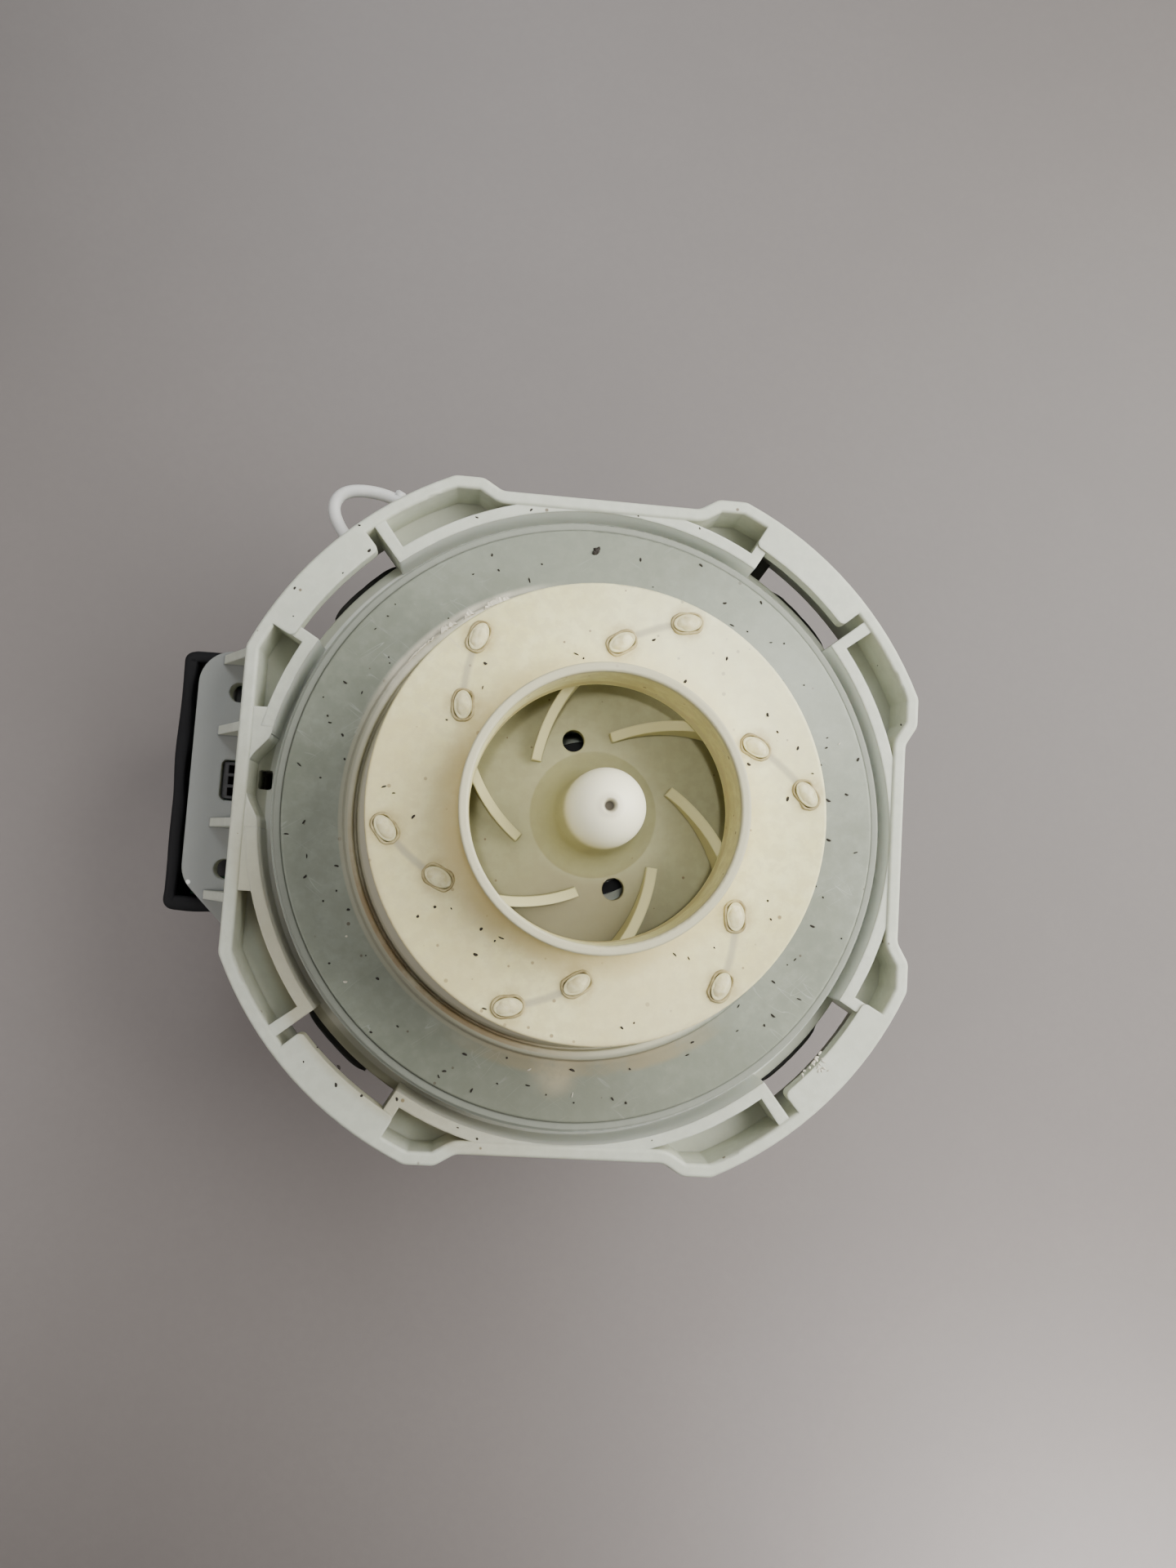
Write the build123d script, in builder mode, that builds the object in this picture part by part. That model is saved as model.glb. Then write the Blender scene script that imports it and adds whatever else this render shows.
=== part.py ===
from build123d import *
import math
import os

os.makedirs("parts", exist_ok=True)

# Dishwasher circulation pump, motor down and impeller up.
# Z runs up the shaft from the rear face, X points to the right of the terminal plate, units are mm.

# Heights along the shaft
disc_top = 66.0
collar_drop = 2.4
collar_height = 13.6
floor_depth = 10.0
floor_thickness = 2.4
collar_top = disc_top - collar_drop
collar_bottom = collar_top - collar_height
floor_top = disc_top - floor_depth
floor_bottom = floor_top - floor_thickness

# Clearances
seat_clearance = 0.05
loose_clearance = 0.3
running_gap = 0.6

# Edge roundings
edge_round = 0.5
small_round = 0.3
shoulder_round = 1.2
neck_round = 1.0

# Motor body, which the collar stands round
stator_radius = 40.0
housing_wall = 3.0
housing_inner = stator_radius + seat_clearance
housing_radius = housing_inner + housing_wall

# Collar of the front bracket: inner ring, windows outside it, lobes outside the windows
collar_reach = 7.05
wall = 2.0
ring_thickness = 1.8
ring_drop = 0.3
window_lap = 0.3
window_width = 5.1
lobe_step = 1.8
lobe_foot = 15.4
lobe_chamfer = 3.0
corner_radius = 2.4
floor_lip = 4.0
wall_half = housing_radius + collar_reach
ring_inner = wall_half - wall
ring_outer = ring_inner + ring_thickness
ring_top = collar_top - ring_drop
window_inner = ring_outer - window_lap
lobe_inner = window_inner + window_width
lobe_radius = lobe_inner + wall
lobe_flat = wall_half + lobe_step

# Bayonet windows and hook caps, as angles from each diagonal
diagonals = [45, 135, 225, 315]
window_start = -6.1
window_end = 14.2
rib_angle = 2.0
cap_start = -4.4
cap_end = 16.3
cap_reach = 3.3
cap_thickness = 2.4
cap_corner = 0.9
cap_inner = lobe_inner - cap_reach

# Terminal plate of the front bracket, placed from the left wall
plate_reach = 9.7
plate_under = 7.3
plate_top_y = 24.1
plate_bottom_y = -21.7
plate_bevel = 9.2
plate_thickness = 2.8
plate_corner = 5.3
plate_centre_y = 3.4
plate_hole_offset = 3.2
plate_hole_spacing = 28.3
plate_hole_radius = 1.6
plate_window_offset = 2.7
plate_window_width = 4.6
plate_window_length = 6.5
gusset_reach = 6.1
gusset_height = 12.0
gusset_thickness = 1.4
gusset_places = [22.6, 11.2, -3.5, -14.9]
wire_hole_inset = 3.2
wire_hole_width = 2.1
wire_hole_length = 3.0
plate_left = lobe_flat + plate_reach
plate_inner_x = plate_under - lobe_flat
plate_hole_x = -lobe_flat - plate_hole_offset
plate_window_x = -lobe_flat - plate_window_offset
wire_hole_x = wire_hole_inset - lobe_flat
plate_top = collar_bottom
plate_bottom = plate_top - plate_thickness

# Cable clip, its bends as distance outside the lobe and angle
clip_rod = 2.0
clip_drop = 12.0
clip_bends = [(-2.13, 132.55), (5.35, 133.1), (9.54, 129.24), (3.04, 121.93), (-2.38, 120.3)]
clip_bend = 3.2
clip_bend_small = 1.6
clip_height = disc_top - clip_drop

# Impeller
blade_count = 6
impeller_radius = 29.8
back_plate_rise = 15.8
back_plate_thickness = 1.8
shroud_rise = 24.5
shroud_thickness = 1.5
inlet_radius = 17.85
inlet_wall = 1.2
inlet_height = 8.4
hub_radius = 4.9
hub_height = 20.9
hub_foot_radius = 8.6
hub_sleeve_radius = 7.6
hub_drop = 1.2
hub_flare = 0.5
hub_foot_height = 5.0
dimple_radius = 0.9
dimple_depth = 0.8
vane_thickness = 1.3
vane_inner_radius = 10.6
vane_inner_angle = 141.0
vane_middle_radius = 17.3
vane_middle_angle = 104.5
vane_tip_inset = 0.4
vane_tip_angle = 60.8
vane_tip_round = 0.1
leading_edge_radius = 9.8
leading_edge_rise = 1.0
balance_hole_radius = 1.5
balance_ring_radius = 10.4
balance_angle = 108.6
stake_length = 3.7
stake_width = 2.3
stake_rise = 0.35
stake_foot = 1.0
stake_gap = 0.15
inner_stake_radius = 22.1
inner_stake_angle = 86.1
outer_stake_radius = 27.2
outer_stake_angle = 68.5
back_plate_top = disc_top + back_plate_rise
back_plate_bottom = back_plate_top - back_plate_thickness
shroud_top = disc_top + shroud_rise
shroud_bottom = shroud_top - shroud_thickness
inlet_top = shroud_top + inlet_height
vane_tip_radius = impeller_radius - vane_tip_inset

# Pump cover, its skirt inside the ring and its dome under the impeller
channel_gap = 1.9
rebate_width = 1.9
rebate_depth = 2.6
disc_thickness = 2.8
skirt_wall = 2.2
seal_ring_width = 1.2
lip_gap = 4.0
lip_width = 1.6
lip_height = 1.2
dome_inset = 0.3
dome_overhang = 1.2
dome_height = 13.2
dome_wall = 2.2
chamber_radius = 12.5
skirt_outer = ring_inner - channel_gap
disc_radius = skirt_outer - rebate_width
lip_inner = impeller_radius + lip_gap
lip_radius = lip_inner + lip_width
dome_foot = lip_inner - dome_inset
dome_shoulder = impeller_radius - dome_overhang

# Shaft and ball bearings
shaft_radius = 4.0
shaft_core_radius = 5.0
shaft_bottom = 5.0
shaft_rise = 28.0
shaft_flat = 3.2
shaft_flat_rise = 17.0
bearing_outer = 11.0
bearing_width = 7.0
inner_race_thickness = 1.95
race_thickness = 1.8
ball_radius = 1.95
ball_count = 7
ball_gap = 0.08
front_bearing_drop = 10.2
rear_bearing_bottom = 8.2
bearing_seat_wall = 2.6
bearing_ledge = 2.0
cage_gap = 0.6
cage_band = 1.0
cage_rise = 1.0
circlip_thickness = 0.9
circlip_depth = 0.5
circlip_width = 1.9
circlip_opening = 60.0
spring_washer_gap = 1.2
spring_washer_thickness = 0.5
shaft_top = disc_top + shaft_rise
shaft_flat_start = disc_top + shaft_flat_rise
front_bearing_bottom = disc_top - front_bearing_drop
rear_bearing_top = rear_bearing_bottom + bearing_width

# Mechanical seal
seat_rise = 0.5
seat_cup_radius = 11.2
seat_cup_wall = 1.6
seat_cup_height = 4.5
seat_cup_bore = 6.0
seat_bore = 5.0
cup_floor = 1.0
face_radius = 7.8
face_inner = 4.6
face_height = 2.6
face_gap = 0.05
bellows_wall = 0.9
bellows_height = 3.6
spring_wire = 0.9
spring_radius = 6.6
spring_turns = 3
seat_bottom = disc_top + seat_rise

# Rotor and stator
stack_bottom = 24.0
stack_height = 22.0
rotor_core_radius = 17.0
magnet_thickness = 3.2
magnet_count = 4
magnet_angle = 85.0
sleeve_thickness = 0.6
rotor_hole_radius = 2.4
rotor_hole_ring_radius = 10.5
yoke_thickness = 5.0
tooth_count = 6
tooth_width = 9.0
tooth_lap = 1.0
shoe_thickness = 2.6
shoe_angle = 50.0
insulator_thickness = 1.0
insulator_shoe_angle = 48.0
coil_thickness = 4.0
coil_inner = 25.0
coil_gap = 1.4
coil_overhang = 5.0
guard_height = 6.0
guard_thickness = 1.2
guard_inset = 4.8
shoe_guard_height = 4.0
stack_top = stack_bottom + stack_height
yoke_inner = stator_radius - yoke_thickness
coil_outer = yoke_inner - coil_gap
floor_opening = stator_radius - floor_lip

# Motor housing and rear cover
housing_bottom = 5.0
housing_top_gap = 0.6
housing_rib_count = 24
housing_rib_height = 1.2
housing_rib_width = 1.6
housing_rib_start = 14.0
stator_ledge = 1.6
flange_thickness = 2.6
flange_gap = 7.6
flange_reach = 1.0
flange_flat_gap = 1.2
tongue_drop = 0.4
tongue_thickness = 1.8
tongue_end = 8.2
ear_start = 11.8
ear_end = 18.0
ear_lap = 0.2
ear_gap = 0.8
screw_angle = -12.0
screw_boss_radius = 3.2
screw_hole_radius = 1.7
screw_pilot_radius = 1.25
screw_thread_length = 5.5
screw_head_radius = 2.9
screw_head_height = 2.0
screw_slot = 0.75
rear_floor = 3.0
rear_recess = 0.9
rear_recess_inner = 12.0
rear_recess_margin = 4.0
rear_rib_count = 8
rear_rib_width = 2.4
rear_rim_width = 2.4
rear_ear_offset = 4.0
rear_ear_radius = 4.4
rear_ear_height = 8.0
rear_head_recess = 2.6
rear_ledge_radius = 9.0
spigot_height = 3.0
housing_top = floor_bottom - housing_top_gap
flange_top = floor_bottom - flange_gap
flange_bottom = flange_top - flange_thickness
flange_radius = window_inner + flange_reach
tongue_top = floor_bottom - tongue_drop
ear_inner = window_inner - ear_lap
ear_radius = lobe_inner - ear_gap
screw_ring_radius = flange_radius - screw_boss_radius
rear_ear_ring_radius = housing_radius + rear_ear_offset
spigot_radius = housing_inner - stator_ledge
rear_rim = spigot_radius - rear_rim_width

# Terminal box beside the motor, under the terminal plate
box_reach = 3.6
box_gap = 2.95
box_half_length = 21.2
box_bottom = 14.0
box_wall = 2.0
box_corner = 2.0
gasket_width = 2.3
gasket_height = 2.1
gasket_gap = 0.1
pad_half_length = 14.0
pad_bottom = 15.0
pad_top = 38.0
box_screw_y = 10.0
box_screw_height = 30.0
box_screw_length = 6.4
board_height = 37.0
board_thickness = 1.6
board_gap = 0.5
board_post_radius = 2.2
board_post_inset = 2.8
board_post_offset = 3.6
board_post_shift = -1.2
header_drop = 0.6
pin_drop = 0.5
pin_count = 3
pin_width = 0.8
pin_pitch = 1.8
pin_pocket = 1.3
pin_pocket_depth = 7.4
capacitor_radius = 3.2
capacitor_length = 11.0
capacitor_offset = 3.4
capacitor_y = 13.6
module_length = 11.0
module_width = 8.0
module_height = 2.6
module_y = -8.0
busbar_count = 3
busbar_pitch = 3.2
busbar_width = 2.0
busbar_thickness = 0.8
busbar_height = 19.0
busbar_offset = 1.4
busbar_end_gap = 2.0
busbar_above_board = 1.6
busbar_slot_gap = 0.1
guide_length = 10.6
guide_height = 4.4
guide_inset = 2.0
box_left = plate_left + box_reach
box_right = housing_radius + box_gap
box_top = plate_bottom - gasket_gap - gasket_height
flange_flat = box_right - flange_flat_gap
busbar_rise_x = -box_right - box_wall - busbar_offset
busbar_end_x = busbar_end_gap - spigot_radius


def polar(radius, angle):
    return (radius * math.cos(math.radians(angle)), radius * math.sin(math.radians(angle)))


def ring_sector(inner, outer, start, end):
    with BuildSketch() as sector:
        with BuildLine():
            outside = CenterArc((0, 0), outer, start, end - start)
            inside = CenterArc((0, 0), inner, start, end - start)
            Line(inside @ 0, outside @ 0)
            Line(inside @ 1, outside @ 1)
        make_face()
    return sector.sketch


def corners(sketch, *places):
    return [sketch.vertices().sort_by_distance(Vector(*place))[0] for place in places]


def flat_circle(radius, flat):
    with BuildSketch() as section:
        Circle(radius)
        with Locations((flat + radius, 0)):
            Rectangle(2 * radius, 2 * radius, mode=Mode.SUBTRACT)
    return section.sketch


def finish(part, name):
    part.label = name
    export_step(part, "parts/" + name + ".step")


# Outline of the collar: straight walls, four lobes, and the left wall moved out to the lobes
with BuildSketch() as collar_outline:
    Rectangle(2 * wall_half, 2 * wall_half)
    Circle(lobe_radius, mode=Mode.INTERSECT)
    with BuildSketch(mode=Mode.PRIVATE) as lobe:
        Polygon(
            (0, 0),
            (wall_half, lobe_foot),
            (lobe_flat, lobe_foot + lobe_chamfer),
            (lobe_flat, lobe_flat),
            (lobe_foot + lobe_chamfer, lobe_flat),
            (lobe_foot, wall_half),
            align=None,
        )
        Circle(lobe_radius, mode=Mode.INTERSECT)
    with PolarLocations(0, len(diagonals)):
        add(lobe.sketch)
    with Locations((-lobe_flat / 2, 0)):
        Rectangle(lobe_flat, 2 * (lobe_foot + lobe_chamfer))
    fillet(collar_outline.vertices(), corner_radius)

# Front bracket
plate_hole_ys = [
    plate_centre_y + plate_hole_spacing / 2,
    plate_centre_y - plate_hole_spacing / 2,
]
boss_centres = [polar(screw_ring_radius, diagonal + screw_angle) for diagonal in diagonals]

with BuildPart() as front_bracket:
    # Collar wall
    with BuildSketch(Plane.XY.offset(collar_bottom)):
        add(collar_outline.sketch)
        offset(amount=-wall, mode=Mode.SUBTRACT)
    extrude(amount=collar_height)
    fillet(front_bracket.edges().group_by(Axis.Z)[-1], edge_round)
    # Channel floor
    with BuildSketch(Plane.XY.offset(floor_bottom)):
        add(collar_outline.sketch)
        Circle(floor_opening, mode=Mode.SUBTRACT)
    extrude(amount=floor_thickness)
    # Inner ring rib, open towards the wire hole at the left wall
    with BuildSketch(Plane.XY.offset(floor_top)):
        Circle(ring_outer)
        Circle(ring_inner, mode=Mode.SUBTRACT)
        for diagonal in diagonals:
            add(
                ring_sector(
                    ring_inner - wall,
                    lobe_radius,
                    diagonal + window_start,
                    diagonal + window_end,
                ),
                mode=Mode.SUBTRACT,
            )
        with Locations((-ring_outer, plate_centre_y)):
            Rectangle(2 * ring_thickness + wall, 5 * wire_hole_length, mode=Mode.SUBTRACT)
    extrude(amount=ring_top - floor_top)
    # Radial ribs at both ends of each window
    with BuildSketch(Plane.XY.offset(floor_top)):
        for diagonal in diagonals:
            first = diagonal + window_start
            last = diagonal + window_end
            add(ring_sector(ring_inner, lobe_radius - wall / 2, first - rib_angle, first))
            add(ring_sector(ring_inner, lobe_radius - wall / 2, last, last + rib_angle))
    extrude(amount=ring_top - floor_top)
    # Windows through the floor
    with BuildSketch(Plane.XY.offset(floor_bottom)):
        for diagonal in diagonals:
            add(
                ring_sector(
                    window_inner,
                    lobe_inner,
                    diagonal + window_start,
                    diagonal + window_end,
                )
            )
    extrude(amount=floor_thickness, mode=Mode.SUBTRACT)
    # Hook caps over the windows
    for diagonal in diagonals:
        with BuildSketch(Plane.XY.offset(collar_top - cap_thickness)) as cap:
            add(
                ring_sector(
                    cap_inner,
                    lobe_radius - wall / 2,
                    diagonal + cap_start,
                    diagonal + cap_end,
                )
            )
            cap_corners = cap.vertices().sort_by(lambda vertex: Vector(vertex).length)
            fillet(cap_corners[:2], cap_corner)
        extrude(amount=cap_thickness)
    # Spigot and screw bosses under the floor
    with BuildSketch(Plane.XY.offset(flange_top)):
        Circle(housing_radius + loose_clearance + wall)
        with Locations(*boss_centres):
            Circle(screw_boss_radius)
        Circle(housing_radius + loose_clearance, mode=Mode.SUBTRACT)
    extrude(amount=floor_bottom - flange_top)
    with BuildSketch(Plane.XY.offset(flange_top)):
        with Locations(*boss_centres):
            Circle(screw_pilot_radius)
    extrude(amount=screw_thread_length + loose_clearance, mode=Mode.SUBTRACT)
    # Terminal plate
    with BuildSketch(Plane.XY.offset(plate_bottom)) as plate:
        with BuildLine():
            Polyline(
                (plate_inner_x, plate_top_y),
                (-plate_left, plate_top_y),
                (-plate_left, plate_bottom_y + plate_bevel),
                (plate_bevel - plate_left, plate_bottom_y),
                (plate_inner_x, plate_bottom_y),
                close=True,
            )
        make_face()
        fillet(plate.vertices().group_by(Axis.X)[0], plate_corner)
        with Locations(*[(plate_hole_x, y) for y in plate_hole_ys]):
            Circle(plate_hole_radius, mode=Mode.SUBTRACT)
        with Locations((plate_window_x, plate_centre_y)):
            RectangleRounded(
                plate_window_width, plate_window_length, cap_corner, mode=Mode.SUBTRACT
            )
    extrude(amount=plate_thickness)
    # Gussets from the left wall to the plate
    for gusset_y in gusset_places:
        with BuildSketch(Plane.XZ.offset(-gusset_y)):
            Polygon(
                (wall / 2 - lobe_flat, plate_top),
                (-lobe_flat - gusset_reach, plate_top),
                (wall / 2 - lobe_flat, plate_top + gusset_height),
                align=None,
            )
        extrude(amount=gusset_thickness / 2, both=True)
    # Wire hole through the floor and the plate at the left wall
    with BuildSketch(Plane.XY.offset(plate_bottom)):
        with Locations((wire_hole_x, plate_centre_y)):
            RectangleRounded(wire_hole_width, wire_hole_length, cap_corner / 2)
    extrude(amount=floor_top - plate_bottom, mode=Mode.SUBTRACT)
finish(front_bracket.part, "front_bracket")

# Cable clip: one round rod bent into a loop, its ends on the outside of the upper left lobe
clip_points = [polar(lobe_radius + reach, angle) for reach, angle in clip_bends]
with BuildPart() as cable_clip:
    with BuildLine(Plane.XY.offset(clip_height)) as clip_path:
        FilletPolyline(*clip_points, radius=[clip_bend, clip_bend, clip_bend_small])
    with BuildSketch(Plane(origin=clip_path.line @ 0, z_dir=clip_path.line % 0)):
        Circle(clip_rod / 2)
    sweep(path=clip_path.line)
    with BuildSketch(Plane.XY.offset(clip_height - clip_rod)):
        Circle(lobe_radius)
    extrude(amount=2 * clip_rod, mode=Mode.SUBTRACT)
finish(cable_clip.part, "cable_clip")

# Pump cover: disc, skirt, low ring, dome, seal chamber and front bearing seat in one turned profile
chamber_floor = disc_top - bearing_ledge
bearing_top = front_bearing_bottom + bearing_width
disc_bottom = disc_top - disc_thickness
dome_top = disc_top + dome_height
dome_under = dome_top - dome_wall
shoulder_under = disc_bottom - rebate_depth
with BuildPart() as pump_cover:
    with BuildSketch(Plane.XZ) as cover_profile:
        with BuildLine():
            Polyline(
                (seat_bore, chamber_floor),
                (seat_bore, seat_bottom),
                (seat_cup_radius, seat_bottom),
                (seat_cup_radius, seat_bottom + seat_cup_height),
                (chamber_radius, seat_bottom + seat_cup_height),
                (chamber_radius, dome_top),
                (dome_shoulder, dome_top),
                (dome_foot, disc_top - lip_height / 2),
                (lip_inner, disc_top - lip_height / 2),
                (lip_inner, disc_top + lip_height),
                (lip_radius - lip_height / 3, disc_top + lip_height),
                (lip_radius, disc_top),
                (disc_radius, disc_top),
                (disc_radius, disc_top - rebate_depth),
                (skirt_outer, disc_top - rebate_depth),
                (skirt_outer, floor_top),
                (skirt_outer - skirt_wall, floor_top),
                (skirt_outer - skirt_wall, shoulder_under),
                (disc_radius - skirt_wall, shoulder_under),
                (disc_radius - skirt_wall, disc_bottom),
                (dome_foot - dome_wall, disc_bottom),
                (dome_shoulder - dome_wall, dome_under),
                (chamber_radius + dome_wall, dome_under),
                (chamber_radius + dome_wall, chamber_floor),
                (bearing_outer + bearing_seat_wall, chamber_floor),
                (bearing_outer + bearing_seat_wall, front_bearing_bottom),
                (bearing_outer + seat_clearance, front_bearing_bottom),
                (bearing_outer + seat_clearance, bearing_top),
                (bearing_outer - bearing_ledge, bearing_top),
                (bearing_outer - bearing_ledge, chamber_floor),
                close=True,
            )
        make_face()
        fillet(corners(cover_profile, (dome_shoulder, dome_top)), shoulder_round)
        fillet(
            corners(
                cover_profile,
                (lip_inner, disc_top + lip_height),
                (lip_radius - lip_height / 3, disc_top + lip_height),
                (disc_radius, disc_top),
                (skirt_outer, disc_top - rebate_depth),
            ),
            small_round,
        )
    revolve(axis=Axis.Z)
finish(pump_cover.part, "pump_cover")

with BuildPart() as cover_seal_ring:
    with BuildSketch(Plane.XY.offset(disc_top - rebate_depth)):
        Circle(disc_radius + seat_clearance + seal_ring_width)
        Circle(disc_radius + seat_clearance, mode=Mode.SUBTRACT)
    extrude(amount=rebate_depth - running_gap)
    fillet(cover_seal_ring.edges().group_by(Axis.Z)[-1], seal_ring_width / 4)
finish(cover_seal_ring.part, "cover_seal_ring")

# Impeller back plate with vanes, hub and stakes
hub_tip = back_plate_top + hub_height
nose_centre = hub_tip - math.sqrt(hub_radius**2 - dimple_radius**2)
hub_bottom = back_plate_bottom - hub_drop
stake_places = [(inner_stake_radius, inner_stake_angle), (outer_stake_radius, outer_stake_angle)]
blade_angles = [index * 360 / blade_count for index in range(blade_count)]


def vane_arc(turn):
    return ThreePointArc(
        polar(vane_inner_radius, vane_inner_angle + turn),
        polar(vane_middle_radius, vane_middle_angle + turn),
        polar(vane_tip_radius, vane_tip_angle + turn),
    )


def stake_ovals(grow):
    with BuildSketch() as ovals:
        for turn in blade_angles:
            centre = vane_arc(turn).arc_center
            for radius, angle in stake_places:
                x, y = polar(radius, angle + turn)
                heading = math.degrees(math.atan2(y - centre.Y, x - centre.X)) + 90
                with Locations(Location((x, y), heading)):
                    Ellipse(stake_length / 2 + grow, stake_width / 2 + grow)
    return ovals.sketch


with BuildPart() as impeller_back_plate:
    # Vanes, one arc each, thick along the plate and cut down to a sloping leading edge
    with BuildSketch(Plane.XY.offset(back_plate_top)):
        for turn in blade_angles:
            with BuildLine(mode=Mode.PRIVATE) as vane_line:
                vane_arc(turn)
            trace(vane_line.line, line_width=vane_thickness)
        Circle(vane_tip_radius + vane_tip_round, mode=Mode.INTERSECT)
    extrude(amount=shroud_bottom - back_plate_top)
    with BuildSketch(Plane.XZ):
        Polygon(
            (0, back_plate_top + leading_edge_rise),
            (leading_edge_radius, back_plate_top + leading_edge_rise),
            (inlet_radius, shroud_bottom),
            (inlet_radius, shroud_top),
            (0, shroud_top),
            align=None,
        )
    revolve(axis=Axis.Z, mode=Mode.SUBTRACT)
    # Plate, hub and nose
    with BuildSketch(Plane.XZ):
        with BuildLine():
            nose = ThreePointArc(
                (hub_radius, nose_centre),
                (hub_radius * math.cos(math.pi / 4), nose_centre + hub_radius * math.sin(math.pi / 4)),
                (dimple_radius, hub_tip),
            )
            flank = Line(nose @ 0, (hub_radius + hub_flare, back_plate_top + hub_foot_height))
            foot = TangentArc(flank @ 1, (hub_foot_radius, back_plate_top), tangent=flank % 1)
            Polyline(
                foot @ 1,
                (impeller_radius, back_plate_top),
                (impeller_radius, back_plate_bottom),
                (hub_sleeve_radius, back_plate_bottom),
                (hub_sleeve_radius, hub_bottom),
                (0, hub_bottom),
                (0, hub_tip - dimple_depth),
                (dimple_radius - dimple_depth / 2, hub_tip - dimple_depth),
                nose @ 1,
            )
        make_face()
    revolve(axis=Axis.Z)
    # Stake heads on the vanes
    with BuildSketch(Plane.XY.offset(shroud_bottom - stake_foot)):
        add(stake_ovals(0))
    extrude(amount=stake_foot + shroud_thickness + stake_rise)
    # Balance holes
    with BuildSketch(Plane.XY.offset(back_plate_bottom)):
        with PolarLocations(balance_ring_radius, 2, balance_angle):
            Circle(balance_hole_radius)
    extrude(amount=back_plate_thickness, mode=Mode.SUBTRACT)
    # Shaft bore, round below and with a flat above
    with BuildSketch(Plane.XY.offset(hub_bottom)):
        Circle(shaft_radius + seat_clearance)
    extrude(amount=shaft_flat_start - hub_bottom, mode=Mode.SUBTRACT)
    with BuildSketch(Plane.XY.offset(hub_bottom)):
        add(flat_circle(shaft_radius + seat_clearance, shaft_flat + seat_clearance))
    extrude(amount=shaft_top + loose_clearance - hub_bottom, mode=Mode.SUBTRACT)
finish(impeller_back_plate.part, "impeller_back_plate")

# Impeller shroud with the inlet ring
with BuildPart() as impeller_shroud:
    with BuildSketch(Plane.XZ) as shroud_profile:
        with BuildLine():
            Polyline(
                (inlet_radius - inlet_wall, shroud_bottom),
                (impeller_radius, shroud_bottom),
                (impeller_radius, shroud_top),
                (inlet_radius, shroud_top),
                (inlet_radius, inlet_top),
                (inlet_radius - inlet_wall, inlet_top),
                close=True,
            )
        make_face()
        fillet(
            corners(
                shroud_profile,
                (impeller_radius, shroud_top),
                (inlet_radius, inlet_top),
                (inlet_radius - inlet_wall, inlet_top),
            ),
            small_round,
        )
        fillet(corners(shroud_profile, (inlet_radius, shroud_top)), neck_round)
    revolve(axis=Axis.Z)
    with BuildSketch(Plane.XY.offset(shroud_bottom)):
        add(stake_ovals(stake_gap))
    extrude(amount=shroud_thickness, mode=Mode.SUBTRACT)
finish(impeller_shroud.part, "impeller_shroud")

# Motor shaft: thick under the rotor, thin in both bearings, grooved for the circlip
with BuildPart() as motor_shaft:
    with BuildSketch(Plane.XY.offset(shaft_bottom)):
        Circle(shaft_radius)
    extrude(amount=shaft_top - shaft_bottom)
    with BuildSketch(Plane.XY.offset(rear_bearing_top)):
        Circle(shaft_core_radius)
    extrude(amount=front_bearing_bottom - rear_bearing_top)
    with BuildSketch(Plane.XY.offset(rear_bearing_bottom - circlip_thickness)):
        Circle(shaft_radius)
        Circle(shaft_radius - circlip_depth, mode=Mode.SUBTRACT)
    extrude(amount=circlip_thickness, mode=Mode.SUBTRACT)
    with BuildSketch(Plane.XY.offset(shaft_flat_start)):
        Circle(shaft_radius)
        add(flat_circle(shaft_radius, shaft_flat), mode=Mode.SUBTRACT)
    extrude(amount=shaft_top - shaft_flat_start, mode=Mode.SUBTRACT)
    chamfer(motor_shaft.edges().group_by(Axis.Z)[0], circlip_depth)
finish(motor_shaft.part, "motor_shaft")

with BuildPart() as rear_circlip:
    with BuildSketch(Plane.XY.offset(rear_bearing_bottom - circlip_thickness)):
        Circle(shaft_radius - circlip_depth + seat_clearance + circlip_width)
        Circle(shaft_radius - circlip_depth + seat_clearance, mode=Mode.SUBTRACT)
        add(
            ring_sector(1, shaft_radius + circlip_width, -circlip_opening / 2, circlip_opening / 2),
            mode=Mode.SUBTRACT,
        )
    extrude(amount=circlip_thickness - seat_clearance)
finish(rear_circlip.part, "rear_circlip")

# Ball bearings, the same make at both ends of the shaft
inner_race_bore = shaft_radius + seat_clearance
inner_race_outer = inner_race_bore + inner_race_thickness
outer_race_inner = bearing_outer - race_thickness
ball_circle = (inner_race_outer + outer_race_inner) / 2
washer_inner = outer_race_inner + seat_clearance
washer_outer = bearing_outer - seat_clearance
cage_inner = inner_race_outer + cage_gap
cage_outer = outer_race_inner - cage_gap


def race(inner, outer, bottom):
    with BuildPart() as ring:
        with BuildSketch(Plane.XZ):
            with Locations(((inner + outer) / 2, bottom + bearing_width / 2)):
                Rectangle(outer - inner, bearing_width)
            with Locations((ball_circle, bottom + bearing_width / 2)):
                Circle(ball_radius + ball_gap, mode=Mode.SUBTRACT)
        revolve(axis=Axis.Z)
    return ring.part


def ball_set(bottom, radius):
    with BuildPart() as balls:
        with Locations((0, 0, bottom + bearing_width / 2)):
            with PolarLocations(ball_circle, ball_count):
                Sphere(radius)
    return balls.part


def cage(bottom):
    with BuildPart() as crown:
        with BuildSketch(Plane.XY.offset(bottom + bearing_width / 2 - ball_radius - cage_band)):
            Circle(cage_outer)
            Circle(cage_inner, mode=Mode.SUBTRACT)
        extrude(amount=cage_band + ball_radius + cage_rise)
        add(ball_set(bottom, ball_radius + ball_gap), mode=Mode.SUBTRACT)
    return crown.part


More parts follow.
